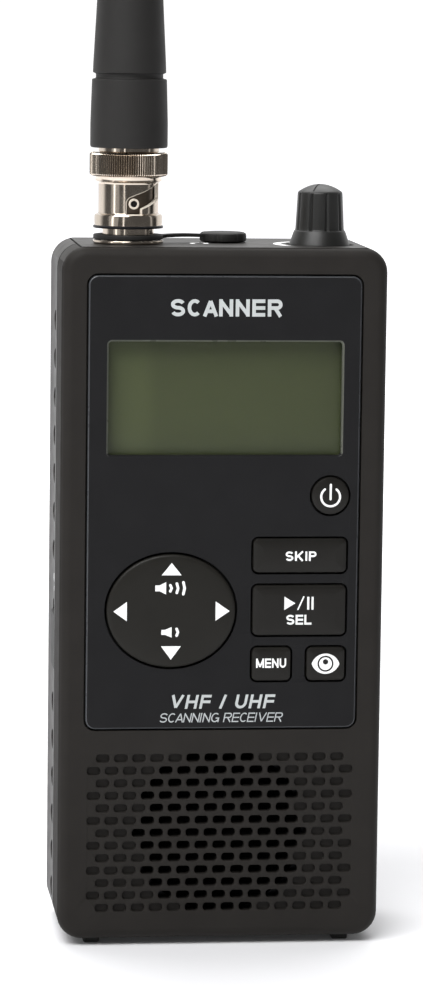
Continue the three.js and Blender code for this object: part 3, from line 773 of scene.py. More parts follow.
def front_panel():
    build = Builder()
    profile = [
        (0, PANEL_THICKNESS), (0, 0.3), (0.03, 0.22), (PANEL_RIM, 0.02),
        (PANEL_RIM + 0.06, 0), (PANEL_RIM + 0.2, 0),
    ]
    # The rim's chamfer gets the paler colour: painted highlight
    back, face = build.wall(box_shape(PANEL), profile, [0, 0, 1, 1, 0])
    faces, backs = [face], [back]

    def opening(shape, steps, finishes=None):
        first, last = build.wall(shape, steps, finishes)
        faces.append(first)
        backs.append(last)

    window_steps = [(0, 0), (0.05, 0.02), (WINDOW_RIM, 0.3), (WINDOW_RIM, PANEL_THICKNESS)]
    # The window's rim gets the paler colour: painted highlight
    opening(box_shape(WINDOW), window_steps, [2, 2, 2])
    rim = [(-0.1, 0), (-0.03, 0.03), (0, 0.1), (0, PANEL_THICKNESS)]
    for key in KEYS.values():
        opening(box_shape(grown(key, GAP)), rim)
    opening(oval_shape(POWER, GAP, 64), rim)
    opening(oval_shape(PAD, GAP + 0.1), rim)
    build.fill(*faces)
    build.fill(*backs)
    piece = build.object("panel_plate")
    # The rim's upward-facing lower wall keeps the panel's dark colour, without the painted
    # highlight
    for face in piece.data.polygons:
        if face.material_index == 2 and face.normal.z > 0.3:
            face.material_index = 0
    finishes = [PANEL_FACE, PANEL_EDGE_HIGHLIGHT, WINDOW_EDGE_HIGHLIGHT]
    place_piece(piece, "case", finishes, ["front_panel"])


def display():
    front = PANEL_THICKNESS + GAP
    pane = block(grown(WINDOW, WINDOW_LIP), front, front + 1, name="window_pane", edge=0.05)
    place_piece(pane, "case", CLEAR, ["display_window"])
    glass = block(
        grown(WINDOW, WINDOW_LIP - 0.2), front + 1.3, front + 3.1, name="display_glass", edge=0.05,
    )
    place_piece(glass, "case", DISPLAY, ["lcd_glass"])


def key_profile(rise):
    """Flange below the panel, then up over the key's edge and its slightly domed top."""
    top = rise - KEY_PROUD
    return [
        (-0.7, 3.7), (-0.7, 3.1), (0, 3.1),
        (0, 0.4), (0, top + KEY_EDGE), (0.3 * KEY_EDGE, top + 0.25 * KEY_EDGE),
        (KEY_EDGE, top), (2 * KEY_EDGE, top - 0.4 * rise), (4.5 * KEY_EDGE, top - 0.9 * rise),
    ]


def keys():
    shapes = {name: (box_shape(box), 0.14) for name, box in KEYS.items()}
    shapes["power"] = (oval_shape(POWER, 0, 64), 0.12)
    for name, (shape, rise) in shapes.items():
        cap = prism(name + "_cap", shape, key_profile(rise))
        place_piece(cap, name + "_key", KEY, [name + "_button"])


def navigation_pad():
    build = Builder()
    back, top = build.wall(oval_shape(PAD), [
        (-0.7, 4.2), (-0.7, 3.6), (0, 3.6), (0, 0.2), (0, -0.15), (0.12, -0.36), (0.4, -0.5),
        (0.9, -0.58), (2.5, -0.66), (5, -0.7),
    ])
    build.fill(top)
    socket, floor = build.wall(round_shape(PAD[0], PAD[1], 2.6), [(0, 4.2), (0, 1.9)])
    build.fill(back, socket)
    build.fill(floor)
    place_piece(build.object("pad_cap"), "pad", PAD_PLASTIC, ["dpad"])


# ---------------------------------------------------------------- prints


def print_piece(name, shapes, level, body, ink, place=front_on, thickness=PRINT_THICKNESS):
    """Flat printed shapes, each a closed outline, on a surface.

    Shapes next to each other in the list may overlap: each has its own thickness.
    """
    build = Builder(place)
    for k, outline in enumerate(shapes):
        top = level - thickness * (1 + PRINT_STEP * (k % 4))
        for end in build.wall(lambda inset: outline, [(0, level), (0, top)]):
            build.fill(end)
    place_piece(build.object(name), body, ink)


def frame_print(name, outer, inner, level, body, ink):
    """Printed outline with a hole in it."""
    build = Builder()
    levels = (level, level - PRINT_THICKNESS)
    outer_rings = [build.ring(outer, w) for w in levels]
    inner_rings = [build.ring(inner, w) for w in levels]
    build.bridge(*outer_rings)
    build.bridge(*inner_rings)
    for pair in zip(outer_rings, inner_rings):
        build.fill(*pair)
    place_piece(build.object(name), body, ink)


def stroke(points, width, steps=6):
    """Outline of a line of that width with round ends."""
    left, right = [], []
    half = width / 2
    for i, point in enumerate(points):
        before = Vector(points[max(i - 1, 0)])
        after = Vector(points[min(i + 1, len(points) - 1)])
        ahead = (after - before).normalized()
        side = Vector((-ahead.y, ahead.x)) * half
        left.append(tuple(Vector(point) + side))
        right.append(tuple(Vector(point) - side))

    def cap(end, near):
        ahead = (Vector(end) - Vector(near)).normalized()
        start = math.atan2(ahead.y, ahead.x) + math.pi / 2
        turns = [start - math.pi * k / steps for k in range(1, steps)]
        return [(end[0] + half * math.cos(t), end[1] + half * math.sin(t)) for t in turns]

    last = cap(points[-1], points[-2])
    first = cap(points[0], points[1])
    return left + last + right[::-1] + first


LETTER_WIDTHS = {
    "S": 0.82, "K": 0.92, "I": 0.2, "P": 0.8, "E": 0.76, "L": 0.72, "M": 0.98, "N": 0.82,
    "U": 0.82, "C": 0.84, "A": 0.9, "R": 0.86, "V": 0.92, "H": 0.82, "F": 0.72, "G": 0.9,
    "/": 0.4, " ": 0.3,
}


def advance(letter):
    """Width that a capital takes in a line, with a little less for two open shapes."""
    return LETTER_WIDTHS[letter] - (KERN if letter in "AC" else 0)


def letter_lines(letter, weight):
    """Centre lines of a capital one unit tall, drawn with a pen as wide as weight."""
    left, right = weight / 2, LETTER_WIDTHS[letter] - weight / 2
    low, high = weight / 2, 1 - weight / 2
    middle, centre = 0.5, (left + right) / 2
    wide, tall = right - left, high - low
    foot, head = 0, 1
    stem = [(left, foot), (left, head)]
    far_stem = [(right, foot), (right, head)]
    loop = [(left, high), (right - tall / 4, high)]
    loop += arc(right - tall / 4, middle + tall / 4, tall / 4, 80, -80, 16)
    loop += [(right - tall / 4, middle), (left, middle)]
    bars = {y: [(left, y), (right + weight / 2, y)] for y in (low, middle, high)}
    shapes = {
        "I": [stem],
        "L": [stem, bars[low]],
        "E": [stem, bars[low], bars[middle], bars[high]],
        "F": [stem, bars[middle], bars[high]],
        "H": [stem, far_stem, bars[middle]],
        "N": [stem, far_stem, [(left, high), (right, low)]],
        "M": [stem, far_stem, [(left, high), (centre, low)], [(centre, low), (right, high)]],
        "V": [[(left, head), (centre, low)], [(centre, low), (right, head)]],
        "A": [
            [(left, foot), (centre, high)], [(centre, high), (right, foot)],
            [(left + 0.22 * wide, 0.3), (right - 0.22 * wide, 0.3)],
        ],
        "K": [stem, [(left, 0.32), (right, head)], [(left + 0.3 * wide, 0.55), (right, foot)]],
        "P": [stem, loop],
        "R": [stem, loop, [(centre, middle), (right, foot)]],
        "U": [[(left, head), (left, low + 0.35)]
              + arc(centre, low + wide / 2, wide / 2, 180, 360, 16)
              + [(right, low + 0.35), (right, head)]],
        "C": [bowl(centre, middle, wide / 2, tall / 2, 48, 312, 32)],
        "G": [bowl(centre, middle, wide / 2, tall / 2, 48, 350, 32),
              [(centre + 0.05, 0.44), (right + weight / 2, 0.44)], [(right, 0.44), (right, foot)]],
        "S": [bowl(centre, middle + tall / 4, wide / 2, tall / 4, 20, 270, 24)
              + bowl(centre, middle - tall / 4, wide / 2, tall / 4, 90, -160, 24)],
        "/": [[(left, foot), (right, head)]],
        " ": [],
    }
    return shapes[letter]


def lettering(name, text, box, level, body, ink, slant=0.0, weight=0.2):
    """Capitals spread over a box (left, bottom, right, top)."""
    left, bottom, right, top = box
    height = top - bottom
    widths = sum(advance(letter) for letter in text)
    gaps = len(text) - 1
    scale = min(height, (right - left - 0.1 * height * gaps) / widths)
    gap = (right - left - widths * scale) / gaps
    strokes = []
    x = left
    for letter in text:
        for line in letter_lines(letter, weight):
            strokes.append([
                (x + u * scale + slant * (v - 0.5) * height, bottom + v * height)
                for u, v in stroke(line, weight, 1)
            ])
        x += advance(letter) * scale + gap
    print_piece(name, strokes, level, body, ink)


def panel_prints():
    lettering("heading_print", "SCANNER", (-10.1, 117.45, 10.4, 120.6), 0, "case",
              SILVER_PRINT, weight=0.21)
    lettering("range_print", "VHF / UHF", (-9.4, 44.75, 9.9, 47.35), 0, "case", SILVER_PRINT,
              slant=0.2, weight=0.19)
    lettering("kind_print", "SCANNING RECEIVER", (-11.3, 42.2, 11.5, 43.95), 0, "case",
              GREY_PRINT, slant=0.2, weight=0.12)


def key_prints():
    level = -KEY_PROUD + 0.005
    lettering("skip_print", "SKIP", (11.6, 72.35, 17.35, 74.12), level, "skip_key", PRINT)
    lettering("select_print", "SEL", (11.9, 60.45, 16.6, 62.3), level, "select_key", PRINT)
    lettering("menu_print", "MENU", (6.4, 52.4, 12.0, 54.15), level, "menu_key", PRINT)
    play = [
        [(11.5, 63.2), (13.55, 64.45), (11.5, 65.7)],
        stroke([(14.05, 63.3), (15.1, 65.65)], 0.26),
        rounded((15.75, 63.25, 16.15, 65.65, 0.05), 0, 2),
        rounded((16.55, 63.25, 16.95, 65.65, 0.05), 0, 2),
    ]
    print_piece("play_print", play, level, "select_key", PRINT)
    x, z = 19.35, 53.1
    lens = arc(x, z - 0.83, 2.73, 17.7, 162.3) + arc(x, z + 0.83, 2.73, 197.7, 342.3)
    frame_print("eye_print", lens, circle(x, z, 1.5), level, "watch_key", PRINT)
    pupil, glint = circle(x, z, 1.2), circle(x, z + 0.35, 0.5)
    frame_print("pupil_print", pupil, glint, level, "watch_key", PRINT)
    x, z, _, _ = POWER
    ring = stroke(arc(x, z - 0.15, 1.75, 128, 412, 48), 0.4)
    bar = stroke([(x, z + 2.1), (x, z - 0.6)], 0.4)
    print_piece("power_print", [ring, bar], level, "power_key", PRINT)


def pad_prints():
    level, thickness = -0.695, 0.03
    x, z, _, _ = PAD
    up = [(x - 1.85, 69.8), (x + 1.85, 69.8), (x, 72.1)]
    down = [(x - 1.85, 56.6), (x, 54.1), (x + 1.85, 56.6)]
    west = [(-17.7, z - 1.8), (-17.7, z + 1.8), (-20.2, z)]
    east = [(-1.3, z - 1.8), (1.3, z), (-1.3, z + 1.8)]

    def horn(left, right, middle, size):
        return [
            (left, middle - 0.55 * size), (left + 0.8 * size, middle - 0.55 * size),
            (right, middle - 1.15 * size), (right, middle + 1.15 * size),
            (left + 0.8 * size, middle + 0.55 * size), (left, middle + 0.55 * size),
        ]

    def wave(where, middle, half):
        return stroke([(where - 0.12, middle - half), (where + 0.12, middle),
                       (where - 0.12, middle + half)], 0.5)

    loud, quiet = 67.4, 59.2
    shapes = {
        "arrow_print": [up, down, west, east],
        "loud_print": [horn(-12.5, -10.5, loud, 1), wave(-9.6, loud, 0.55),
                       wave(-8.4, loud, 0.85), wave(-7.2, loud, 1.1)],
        "quiet_print": [horn(-11.3, -9.4, quiet, 0.85), wave(-8.35, quiet, 0.62)],
    }
    for name, outlines in shapes.items():
        print_piece(name, outlines, level, "pad", PRINT, thickness=thickness)


def top_prints():
    x, depth = KNOB
    crescent = arc(x, depth, 8.6, 120, 215, 20) + arc(x + 1.15, depth, 8.3, 211, 124, 20)
    print_piece("volume_print", [crescent], CASE_TOP, "case", PRINT, top_on, -PRINT_THICKNESS)
    shapes = [stroke(arc(-3.7, 13.4, 1.2, 0, 180, 12), 0.45)]
    for x in (-4.95, -2.45):
        shapes.append(rounded((x - 0.45, 11.6, x + 0.45, 13.6, 0.2), 0, 2))
    print_piece("earphone_print", shapes, CASE_TOP, "case", PRINT, top_on, -PRINT_THICKNESS)


def side_prints():
    """Port symbol above the cover on the left side."""
    shapes = [
        stroke([(17.7, 64.9), (17.7, 68.2)], 0.5),
        stroke([(17.7, 65.8), (18.9, 66.6), (18.9, 67.2)], 0.45),
        circle(17.7, 64.7, 0.7, 0, 16),
    ]
    print_piece("port_print", shapes, 0.32, "case", PRINT, left_on, 0.06)


# ---------------------------------------------------------------- knob, connector, antenna


def volume_knob():
    flute_low, flute_high = FLUTE_SPAN

    def fluted(angle, radius, z):
        if radius < 3.6 or not flute_low < z < flute_high:
            return radius
        return radius - FLUTE_DEPTH * max(0.0, math.cos(KNOB_FLUTES * angle)) ** 7

    outer = [(1.7, 130.6), (4.6, 130.6), (4.6, 128.4)]
    outer += eased([(5.5, 128.4), (5.68, 128.6), (5.65, 130), (4.75, 132.5), (4.62, 132.6)], 0.2)
    outer += [(4.55, 132.72), (4.5, 133)] + [(4.5 - 0.026 * k, 133 + 0.5 * k) for k in range(1, 13)]
    outer += [(4.17, 139.4), (4.13, 139.6), (4.02, 139.78), (KNOB_SHOULDER, 139.95)]
    dome = [KNOB_SHOULDER * (1 - k / 10) for k in range(1, 11)]
    outer += [(radius, KNOB_TOP - KNOB_DOME * radius ** 2) for radius in dome]
    knob = turned(outer, *KNOB, "knob_cap", 288, fluted)
    place_piece(knob, "knob", KNOB_PLASTIC, ["volume_knob"])
    x, depth = KNOB
    ahead_x, ahead_depth = math.cos(POINTER_TURN), math.sin(POINTER_TURN)
    pointer = Builder(top_on)
    rows = []
    for k in range(9):
        r = 0.1 + 3.68 * k / 8
        height = KNOB_TOP + 0.012 - KNOB_DOME * r ** 2
        row = [
            (x + ahead_x * r - ahead_depth * s, depth + ahead_depth * r + ahead_x * s)
            for s in (-POINTER_HALF_WIDTH, POINTER_HALF_WIDTH)
        ]
        rows.append(pointer.ring(row, height))
    for one, two in zip(rows, rows[1:]):
        pointer.mesh.faces.new((one[0], one[1], two[1], two[0]))
    place_piece(pointer.object("knob_pointer"), "knob", PAPER)


def widened(outline, margin):
    """A counter-clockwise outline with its sides moved outwards."""
    moved = []
    for before, here, after in zip(outline[-1:] + outline[:-1], outline, outline[1:] + outline[:1]):
        first = (Vector(here) - Vector(before)).normalized()
        second = (Vector(after) - Vector(here)).normalized()
        outward = Vector((first.y + second.y, -first.x - second.x)).normalized()
        share = max(outward.dot(Vector((first.y, -first.x))), 0.5)
        moved.append(tuple(Vector(here) + outward * margin / share))
    return moved


def ramp_cutter(angle):
    """Bent groove of the bayonet, from the rim up and round the barrel."""
    per_degree = math.radians(SLOT_RADIUS)
    slope = SLOT_RISE_PER_DEGREE / per_degree
    half = SLOT_HALF_WIDTH
    tall = half * math.hypot(1, slope)
    along = [half + (SLOT_SWEEP * per_degree - half) * k / 24 for k in range(25)]
    lower = [(s, LUG_Z + slope * s - tall) for s in along]
    upper = [(s, LUG_Z + slope * s + tall) for s in reversed(along)]
    first = 90 + math.degrees(math.atan(slope))
    outline = [(-half, SLOT_BOTTOM), (half, SLOT_BOTTOM), *lower, *upper]
    outline += arc(0, LUG_Z, half, first, 180, 8)
    x, depth = JACK
    start = math.radians(angle)

    def bent(u, v, w):
        turn = start + u / SLOT_RADIUS
        return at(x + w * math.cos(turn), depth + w * math.sin(turn), v)

    mouth = -SLOT_CHAMFER - 0.02
    steps = [
        (0, 4.4), (0, BARREL_RADIUS - SLOT_CHAMFER), (mouth, BARREL_RADIUS + 0.02),
        (mouth, RAMP_REACH),
    ]
    return prism("ramp", lambda inset: widened(outline, -inset), steps, bent)


def coupling_nut():
    def knurled(angle, radius, z):
        if radius < 6.6:
            return radius
        return radius - KNURL_DEPTH * (0.5 + 0.5 * math.cos(KNURL_TEETH * angle))

    # Painted on the nut: its lower lip in blackened steel as a painted dark reflection, and its
    # knurl's valleys in darker nickel as painted shade
    def painted_shade_finish(angle, radius, z):
        if z < 133.3 and radius > 5.9:
            return 3
        return 1 if radius > 6.8 and math.cos(KNURL_TEETH * angle) > 0.2 else 0

    barrel, bore = BARREL_RADIUS, BORE_RADIUS
    nut = turned([
        (5.85, 132.9), (6.4, 132.9), (6.5, 133.0), (6.5, 133.22), (6.3, 133.42), (6.3, 135.1),
        (6.18, 135.38), (5.9, 135.5), (5.68, 135.56), (barrel, 135.7), (barrel, 135.8),
        (barrel, 141), (barrel, 141.1), (5.68, 141.3),
        (6.0, 141.4), (6.2, 141.6), (6.2, 142.2), (6.3, 142.4), (6.7, 142.42), (6.9, 142.5),
        (7.2, 142.75), (7.2, 142.9), (7.2, 146.3), (7.2, 146.42), (6.9, 146.72), (6.7, 146.78),
        (4.3, 146.78), (4.3, 145.5), (bore, 145.5), (bore, 134.9), (5.85, 134.9), (5.85, 132.9),
    ], *JACK, "coupling_nut_body", KNURL_TEETH * 6, knurled, painted_shade_finish)
    for angle in LUG_ANGLES:
        carve(nut, ramp_cutter(angle))
    centre = at(*JACK, 0)
    # The slot walls get the near-white nickel: painted highlight
    for face in nut.data.polygons:
        radius = math.hypot(face.center.x - centre.x, face.center.y - centre.y) / MM
        on_slot_wall = bore + 0.02 < radius < barrel - 0.02
        if on_slot_wall and 134.7 < face.center.z / MM < 141:
            face.material_index = 2
    finishes = [NICKEL, KNURL_NICKEL_SHADED, NICKEL_PAINTED_HIGHLIGHT, DARK_METAL]
    place_piece(nut, "coupling_nut", finishes, ["bnc_nut"])


def lug(angle):
    """Round stud of the bayonet with a bright edge and a dark dish: the edge is a painted highlight
    in near-white nickel and the dish is painted shade in black.
    """
    x, depth = JACK
    turn = math.radians(angle)

    def outward(u, v, w):
        return at(
            x + w * math.cos(turn) - u * math.sin(turn),
            depth + w * math.sin(turn) + u * math.cos(turn), v,
        )

    steps = [(0, 4.5), (0, 5.42), (0.05, 5.49), (0.14, 5.5), (0.34, 5.5), (0.4, 5.44),
             (0.48, 5.2), (0.95, 5.16)]
    return prism("lug", round_shape(0, LUG_Z, 1, 32), steps, outward, [0, 2, 2, 2, 2, 3, 3])


def bnc_jack():
    body = eased([
        (2.6, 121), (4, 121), (4, 123.9), (6.6, 123.9), (6.6, 125.4), (JACK_RADIUS, 125.4),
        (JACK_RADIUS, 142), (4.15, 142), (4.15, 133.2), (2.6, 133.2), (2.6, 121),
    ], 0.12)
    split = next(k for k, (radius, z) in enumerate(body) if radius > 4.5 and z > JACK_SHADE_SPLIT)
    body.insert(split, (JACK_RADIUS, JACK_SHADE_SPLIT))
    # Above the split the jack is inside the coupling nut and gets the darker nickel: painted shade
    jack = turned(
        body, *JACK, "jack_body", finish=lambda angle, radius, z: int(z > JACK_SHADE_SPLIT - 0.1),
    )
    jack = merged("jack_body_and_lugs", jack, *[lug(angle) for angle in LUG_ANGLES])
    # Bayonet studs: near-white edge as painted highlight, black dish as painted shade
    finishes = [NICKEL, JACK_NICKEL_SHADED, NICKEL_PAINTED_HIGHLIGHT, PAPER]
    place_piece(jack, "case", finishes, ["bnc_jack"])
    washer = eased([(4.9, 130.1), (6.5, 130.1), (6.5, 130.7), (4.9, 130.7), (4.9, 130.1)], 0.18)
    washer = turned(washer, *JACK, "flange_washer")
    place_piece(washer, "case", NICKEL, ["bnc_flange_nut"])


def antenna():
    plug = turned([
        (3, 134.4), (4, 134.4), (4, 144), (4.7, 144), (4.7, 144.6), (4, 144.6), (4, 146.8),
        (5.4, 146.8), (5.6, 147), (5.6, 150), (4.4, 150), (4.4, 158), (1.6, 158), (1.6, 145),
        (3, 145), (3, 134.4),
    ], *JACK, "plug_body")
    place_piece(plug, "antenna", NICKEL, ["antenna_plug"])
    sleeve = turned(eased([
        (5.9, 147.65), (7.0, 147.65), (7.15, 148), (7.15, 152), (6.9, 160.15), (6.2, 160.35),
        (6.2, 161.15), (6.75, 161.35), (6.7, 163), (6.09, 174.6), (5.5, 187), (5.05, 200),
        (4.7, 216), (4.4, 240), (4, 292), (3.6, 301), (2.4, 304.8), (0, 306), (0, 292),
        (1.3, 292), (1.3, 158.4), (4.7, 158.4), (4.7, 150.3), (5.9, 150.3), (5.9, 147.65),
    ], 0.15), *JACK, "sleeve")
    place_piece(sleeve, "antenna", RUBBER, ["antenna_sleeve"])


def strap(heading, start, end, count=40):
    """Thin rubber band, wider at the ring, that rises a little between its ends."""
    x, depth = JACK
    build = Builder(top_on)
    rows = []
    for k in range(count + 1):
        u = start + (end - start) * k / count
        half = STRAP_HALF_WIDTH + STRAP_FLARE * (1 - min(1, (u - start) / 1.6)) ** 2
        low, high = [z + 0.15 * math.sin(math.pi * k / count) for z in STRAP_SPAN]
        rows.append([
            build.mesh.verts.new(at(
                x + u * math.cos(heading) - v * math.sin(heading),
                depth + u * math.sin(heading) + v * math.cos(heading), z,
            ))
            for v, z in ((-half, low), (half, low), (half, high), (-half, high))
        ])
    for one, two in zip(rows, rows[1:]):
        build.bridge(one, two)
    for end_row in (rows[0], rows[-1]):
        build.mesh.faces.new(end_row)
    return build.object("strap")


def tether():
    """Rubber ring round the connector, its strap, and the cap on the earphone socket."""
    x, depth = JACK
    run, rise = EARPHONE[0] - x, EARPHONE[1] - depth
    heading = math.atan2(rise, run)

    def scalloped(angle, radius, z):
        if radius < 3.5:
            return radius
        return radius - SCALLOP_DEPTH * max(0.0, math.cos(6 * (angle - 1.2))) ** 3

    section = [(4.9, 130.8), (6.45, 130.8), (6.45, 131.7), (4.9, 131.7), (4.9, 130.8)]
    ring = turned(eased(section, 0.2), *JACK, "ring")
    band = strap(heading, 6.1, math.hypot(run, rise) - 3.9)
    cap = turned([
        (0, 127.4), (0.9, 127.4), (1.1, 127.8), (1.1, 130.15), (4.1, 130.15), (4.3, 130.3),
        (4.36, 130.7), (4.36, 131.3), (4.25, 131.65), (3.9, 131.86), (3.4, 131.9), (0, 131.8),
    ], *EARPHONE, "cap", 144, scalloped)
    piece = merged("tether_and_cap", ring, band, cap)
    place_piece(piece, None, RUBBER, ["tether_ring", "jack_cap"])
    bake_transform(piece)


def earphone_socket():
    collar = turned([
        (1.85, 113), (2.9, 113), (2.9, 129.55), (2.75, 129.7), (1.98, 129.7), (1.85, 129.55),
        (1.85, 113),
    ], *EARPHONE, "earphone_collar", 64)
    place_piece(collar, "case", KNOB_PLASTIC, ["earphone_socket"])


# ---------------------------------------------------------------- back, side and feet


def battery_door():
    plate = Builder()
    profile = [(0.4, 29.2), (0, 29.2), (0, 30.8), (0.06, 30.94), (0.2, 31), (0.4, 31)]
    inner, outer = plate.wall(box_shape(DOOR), profile)
    way = (-4.3, 57.5, 4.3, 66.1, 0.4)
    top_ring, low_ring = plate.wall(box_shape(way, 4), [(-0.1, 31), (0, 30.9), (0, 29.2)])
    plate.fill(outer, top_ring)
    plate.fill(inner, low_ring)
    parts = [plate.object("plate")]
    for left in (-11, 6):
        right = left + 5
        parts.append(block((left, 6.3, right, 9.5, 0.2), 27.3, 28.7, edge=0.1, name="hook"))
        parts.append(block((left, 8.1, right, 9.5, 0.2), 28, 30, edge=0.1, name="hook_post"))
    door = merged("door_plate", *parts)
    place_piece(door, "door", SHELL, ["battery_door"])
    grip = [block((-3.95, 60.55, 3.95, 66.05, 0.5), 29.25, 30.7, edge=0.12, name="thumb")]
    for row in range(4):
        z = 61.6 + 1.1 * row
        grip.append(block((-3, z, 3, z + 0.5, 0.2), 30.5, 30.98, edge=0.06, name="rib"))
    grip.append(block((-3.6, 65.5, 3.6, 67.7, 0.2), 29.25, 30.1, edge=0.08, name="tongue"))
    latch = merged("latch_thumb", *grip)
    place_piece(latch, "latch", KEY, ["battery_latch"])


def battery_cells():
    """Two AA cells side by side, one each way up, in coloured sleeves."""
    upright = eased([
        (0, 0), (CELL_RADIUS, 0), (CELL_RADIUS, CELL_LENGTH - 1), (6.2, CELL_LENGTH - 1),
        (2.75, CELL_LENGTH - 1), (2.75, CELL_LENGTH), (0, CELL_LENGTH),
    ], 0.3)
    turned_over = [(radius, CELL_LENGTH - z) for radius, z in reversed(upright)]
    cells = [(-CELL_X, 13.6, upright), (CELL_X, 10, turned_over)]
    for number, (x, base, shape) in enumerate(cells, 1):
        cell = turned(
            [(radius, base + z) for radius, z in shape], x, CELL_DEPTH, f"battery_cell_{number}",
            64, None, lambda angle, radius, z: int(radius < 6.4),
        )
        place_piece(cell, "case", [CELL, STEEL], [f"battery_{number}"])


def usb_cover():
    cover = block(USB_COVER, 0.02, 1.3, left_on, 0.25, 6, "port_cover")
    place_piece(cover, "usb_flap", RUBBER, ["usb_cover"])


def belt_clip():
    depth, z = CLIP_PIVOT
    parts = [block((-9, 98, 9, 119, 1.5), 31.1, 32.7, edge=0.25, steps=6, name="base")]
    ear = [(32, z - 2.5), (depth, z - 2.5), *arc(depth, z, 1.3, -60, 60, 8),
           (depth, z + 2.5), (32, z + 2.5)]
    for left in (-9, 7.6):
        parts.append(prism("ear", lambda inset: ear, [(0, left), (0, left + 1.4)], side_on))
    mount = merged("clip_mount", *parts)
    place_piece(mount, "case", KEY, ["clip_base"])
    line = [
        (36.2, 74), (35.6, 72.6), (33.9, 72.2), (33.6, 71.4), (34, 70.7), (36.6, 70.05),
        (37.6, 70.6), (38.1, 71.8), (38.2, 74), (38.2, 119.6), (37.9, 120.6), (37.2, 121),
        (36.6, 120.8), (36.2, 120), (36.2, z + 1.6), (35.8, z + 1.4), (35.2, z + 1.2),
        (34.2, z + 1.2), (33.5, z), (34.2, z - 1.2), (35.2, z - 1.2), (36.2, z - 1.6),
    ]
    ends = [(0, -CLIP_HALF_WIDTH), (0, CLIP_HALF_WIDTH)]
    lever = prism("lever_body", lambda inset: line, ends, side_on)
    edge = lever.modifiers.new("edge", "BEVEL")
    edge.width = 0.35 * MM
    edge.segments = 3
    edge.limit_method = "ANGLE"
    edge.angle_limit = math.radians(50)
    place_piece(lever, "clip", KEY, ["belt_clip"])


def feet():
    wide, long, tall = FOOT_SIZE
    for number, (x, depth) in enumerate(FEET, 1):
        box = (x - wide / 2, depth, x + wide / 2, depth + long, 0.5)
        pad = block(box, 0, tall, top_on, 0.15, 4, f"foot_pad_{number}")
        place_piece(pad, "case", FOOT, [f"foot_{number}"])


def cad_materials():
    """Materials for the CAD nodes that stay in sight or inside."""
    looks = {
        "main_board": BOARD, "rf_shield": STEEL, "speaker_frame": DARK_METAL,
        "speaker_magnet": STEEL, "speaker_cone": PAPER, "volume_control": STEEL,
        "volume_nut": NICKEL, "knob_shaft": STEEL, "bnc_insulator": WHITE_PLASTIC,
        "bnc_contact": BRASS, "bnc_gasket": WHITE_PLASTIC, "bnc_retaining_ring": STEEL,
        "antenna_element": BRASS, "battery_spring_1": STEEL, "battery_spring_2": STEEL,
        "contact_bridge": STEEL, "contact_positive": STEEL, "contact_negative": STEEL,
        "usb_socket": STEEL, "clip_spring": STEEL, "dpad_pivot": WHITE_PLASTIC,
        "keypad_mat": FOOT,
    }
    for name, part in frame["nodes"].items():
        if part.hide_render:
            continue
        look = looks.get(name, DARK_METAL if "screw" in name else SHELL)
        part.data.materials.clear()
        part.data.materials.append(look)
        for polygon in part.data.polygons:
            polygon.use_smooth = False


# ---------------------------------------------------------------- studio


def world():
    made = bpy.data.worlds.new("studio")
    bpy.context.scene.world = made
    made.use_nodes = True
    tree = made.node_tree
    along = node(tree, "SeparateXYZ", {"Vector": place_of(tree, "Generated")}).outputs["Y"]
    level = mapped(tree, along, BEHIND, (FRONT_LEVEL, BACK_LEVEL), "SMOOTHSTEP")
    set_inputs(tree, tree.nodes["Background"], {"Color": (1, 1, 1, 1), "Strength": level})


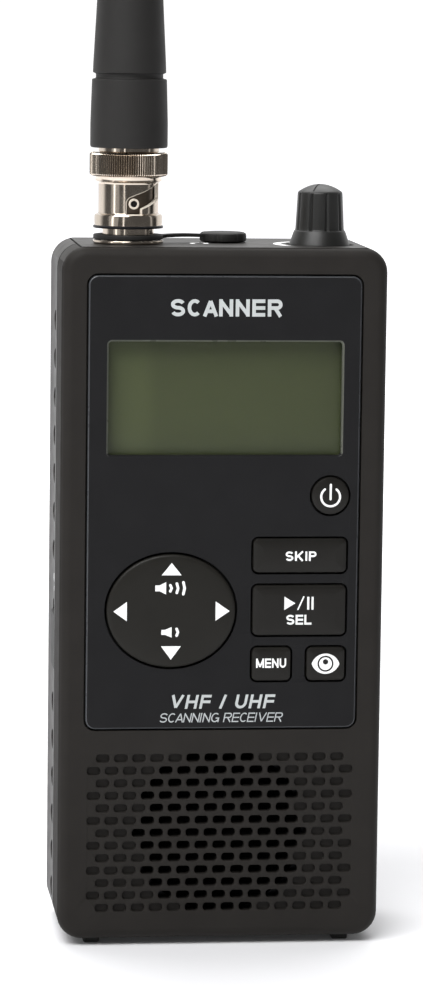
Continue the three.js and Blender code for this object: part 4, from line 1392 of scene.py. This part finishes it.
def floor():
    """Pale paper that glows far away and fades to grey far in front."""
    ground = prism("floor", round_shape(0, 800, 2600, 96), [(0, -20), (0, 0)], top_on)
    look = material("floor_paper", (236, 236, 238), 0.8, mottle=0.01, mottle_size=40,
                    specular=0.1)
    tree = look.node_tree
    shader = tree.nodes["Principled BSDF"]
    where = place_of(tree)
    along = node(tree, "SeparateXYZ", {"Vector": where}).outputs["Y"]
    distance = node(tree, "VectorMath", {0: where}, operation="LENGTH").outputs["Value"]
    behind = node(tree, "Math", {0: along, 1: distance}, operation="DIVIDE").outputs["Value"]
    near = mapped(tree, distance, [d * MM for d in FLOOR_FADE], (1, 0), "SMOOTHSTEP")
    back = mapped(tree, behind, BEHIND, (0, 1), "SMOOTHSTEP")
    pale = node(tree, "Math", {0: near, 1: back}, operation="MAXIMUM").outputs["Value"]
    fade = mapped(tree, pale, (0, 1), (FRONT_LEVEL, 1), "SMOOTHSTEP")
    paper = shader.inputs["Base Color"].links[0].from_socket
    set_inputs(tree, shader, {
        "Base Color": scaled(tree, paper, fade),
        "Emission Color": scaled(tree, paper, fade),
        "Emission Strength": mapped(
            tree, distance, [d * MM for d in GLOW], GLOW_LEVELS, "SMOOTHSTEP",
        ),
    })
    ground.data.materials.append(look)


def lamp(name, place, target, size, power):
    data = bpy.data.lights.new(name, "AREA")
    data.shape = "RECTANGLE"
    data.size, data.size_y = size[0] * MM, size[1] * MM
    data.energy = power
    made = bpy.data.objects.new(name, data)
    bpy.context.scene.collection.objects.link(made)
    made.location = at(*place)
    aim = at(*target) - made.location
    made.rotation_mode = "QUATERNION"
    made.rotation_quaternion = aim.to_track_quat("-Z", "Y")


def lights():
    middle = (0, 15, 90)
    lamp("key_softbox", (-350, -520, 880), middle, (800, 600), 12.5)
    lamp("left_card", (-765, -477, 350), middle, (585, 900), 0.6)
    lamp("left_strip", (-775, -430, 300), middle, (110, 1100), 0.8)
    lamp("front_strip", (-330, -820, 300), middle, (60, 1100), 0.35)
    lamp("right_card", (880, -150, 350), middle, (120, 900), 0.15)
    lamp("overhead", (0, 500, 1100), (0, 300, 0), (1100, 900), 9.5)


def camera():
    data = bpy.data.cameras.new("camera")
    data.lens = CAMERA_LENS
    data.sensor_width = 36
    data.clip_start, data.clip_end = 0.05, 20
    made = bpy.data.objects.new("camera", data)
    bpy.context.scene.collection.objects.link(made)
    made.location = at(*CAMERA_PLACE)
    turn = Vector(CAMERA_AHEAD).normalized().to_track_quat("-Z", "Y").to_matrix().to_4x4()
    roll = Matrix.Rotation(math.radians(CAMERA_ROLL), 4, "Z")
    made.rotation_mode = "QUATERNION"
    made.rotation_quaternion = (turn @ roll).to_quaternion()
    bpy.context.scene.camera = made


front_cover()
rear_shell()
top_plate()
front_panel()
display()
keys()
navigation_pad()
panel_prints()
key_prints()
pad_prints()
top_prints()
side_prints()
volume_knob()
coupling_nut()
bnc_jack()
antenna()
tether()
earphone_socket()
battery_door()
battery_cells()
usb_cover()
belt_clip()
feet()
cad_materials()
world()
floor()
lights()
camera()
bpy.context.scene.view_settings.view_transform = "Standard"
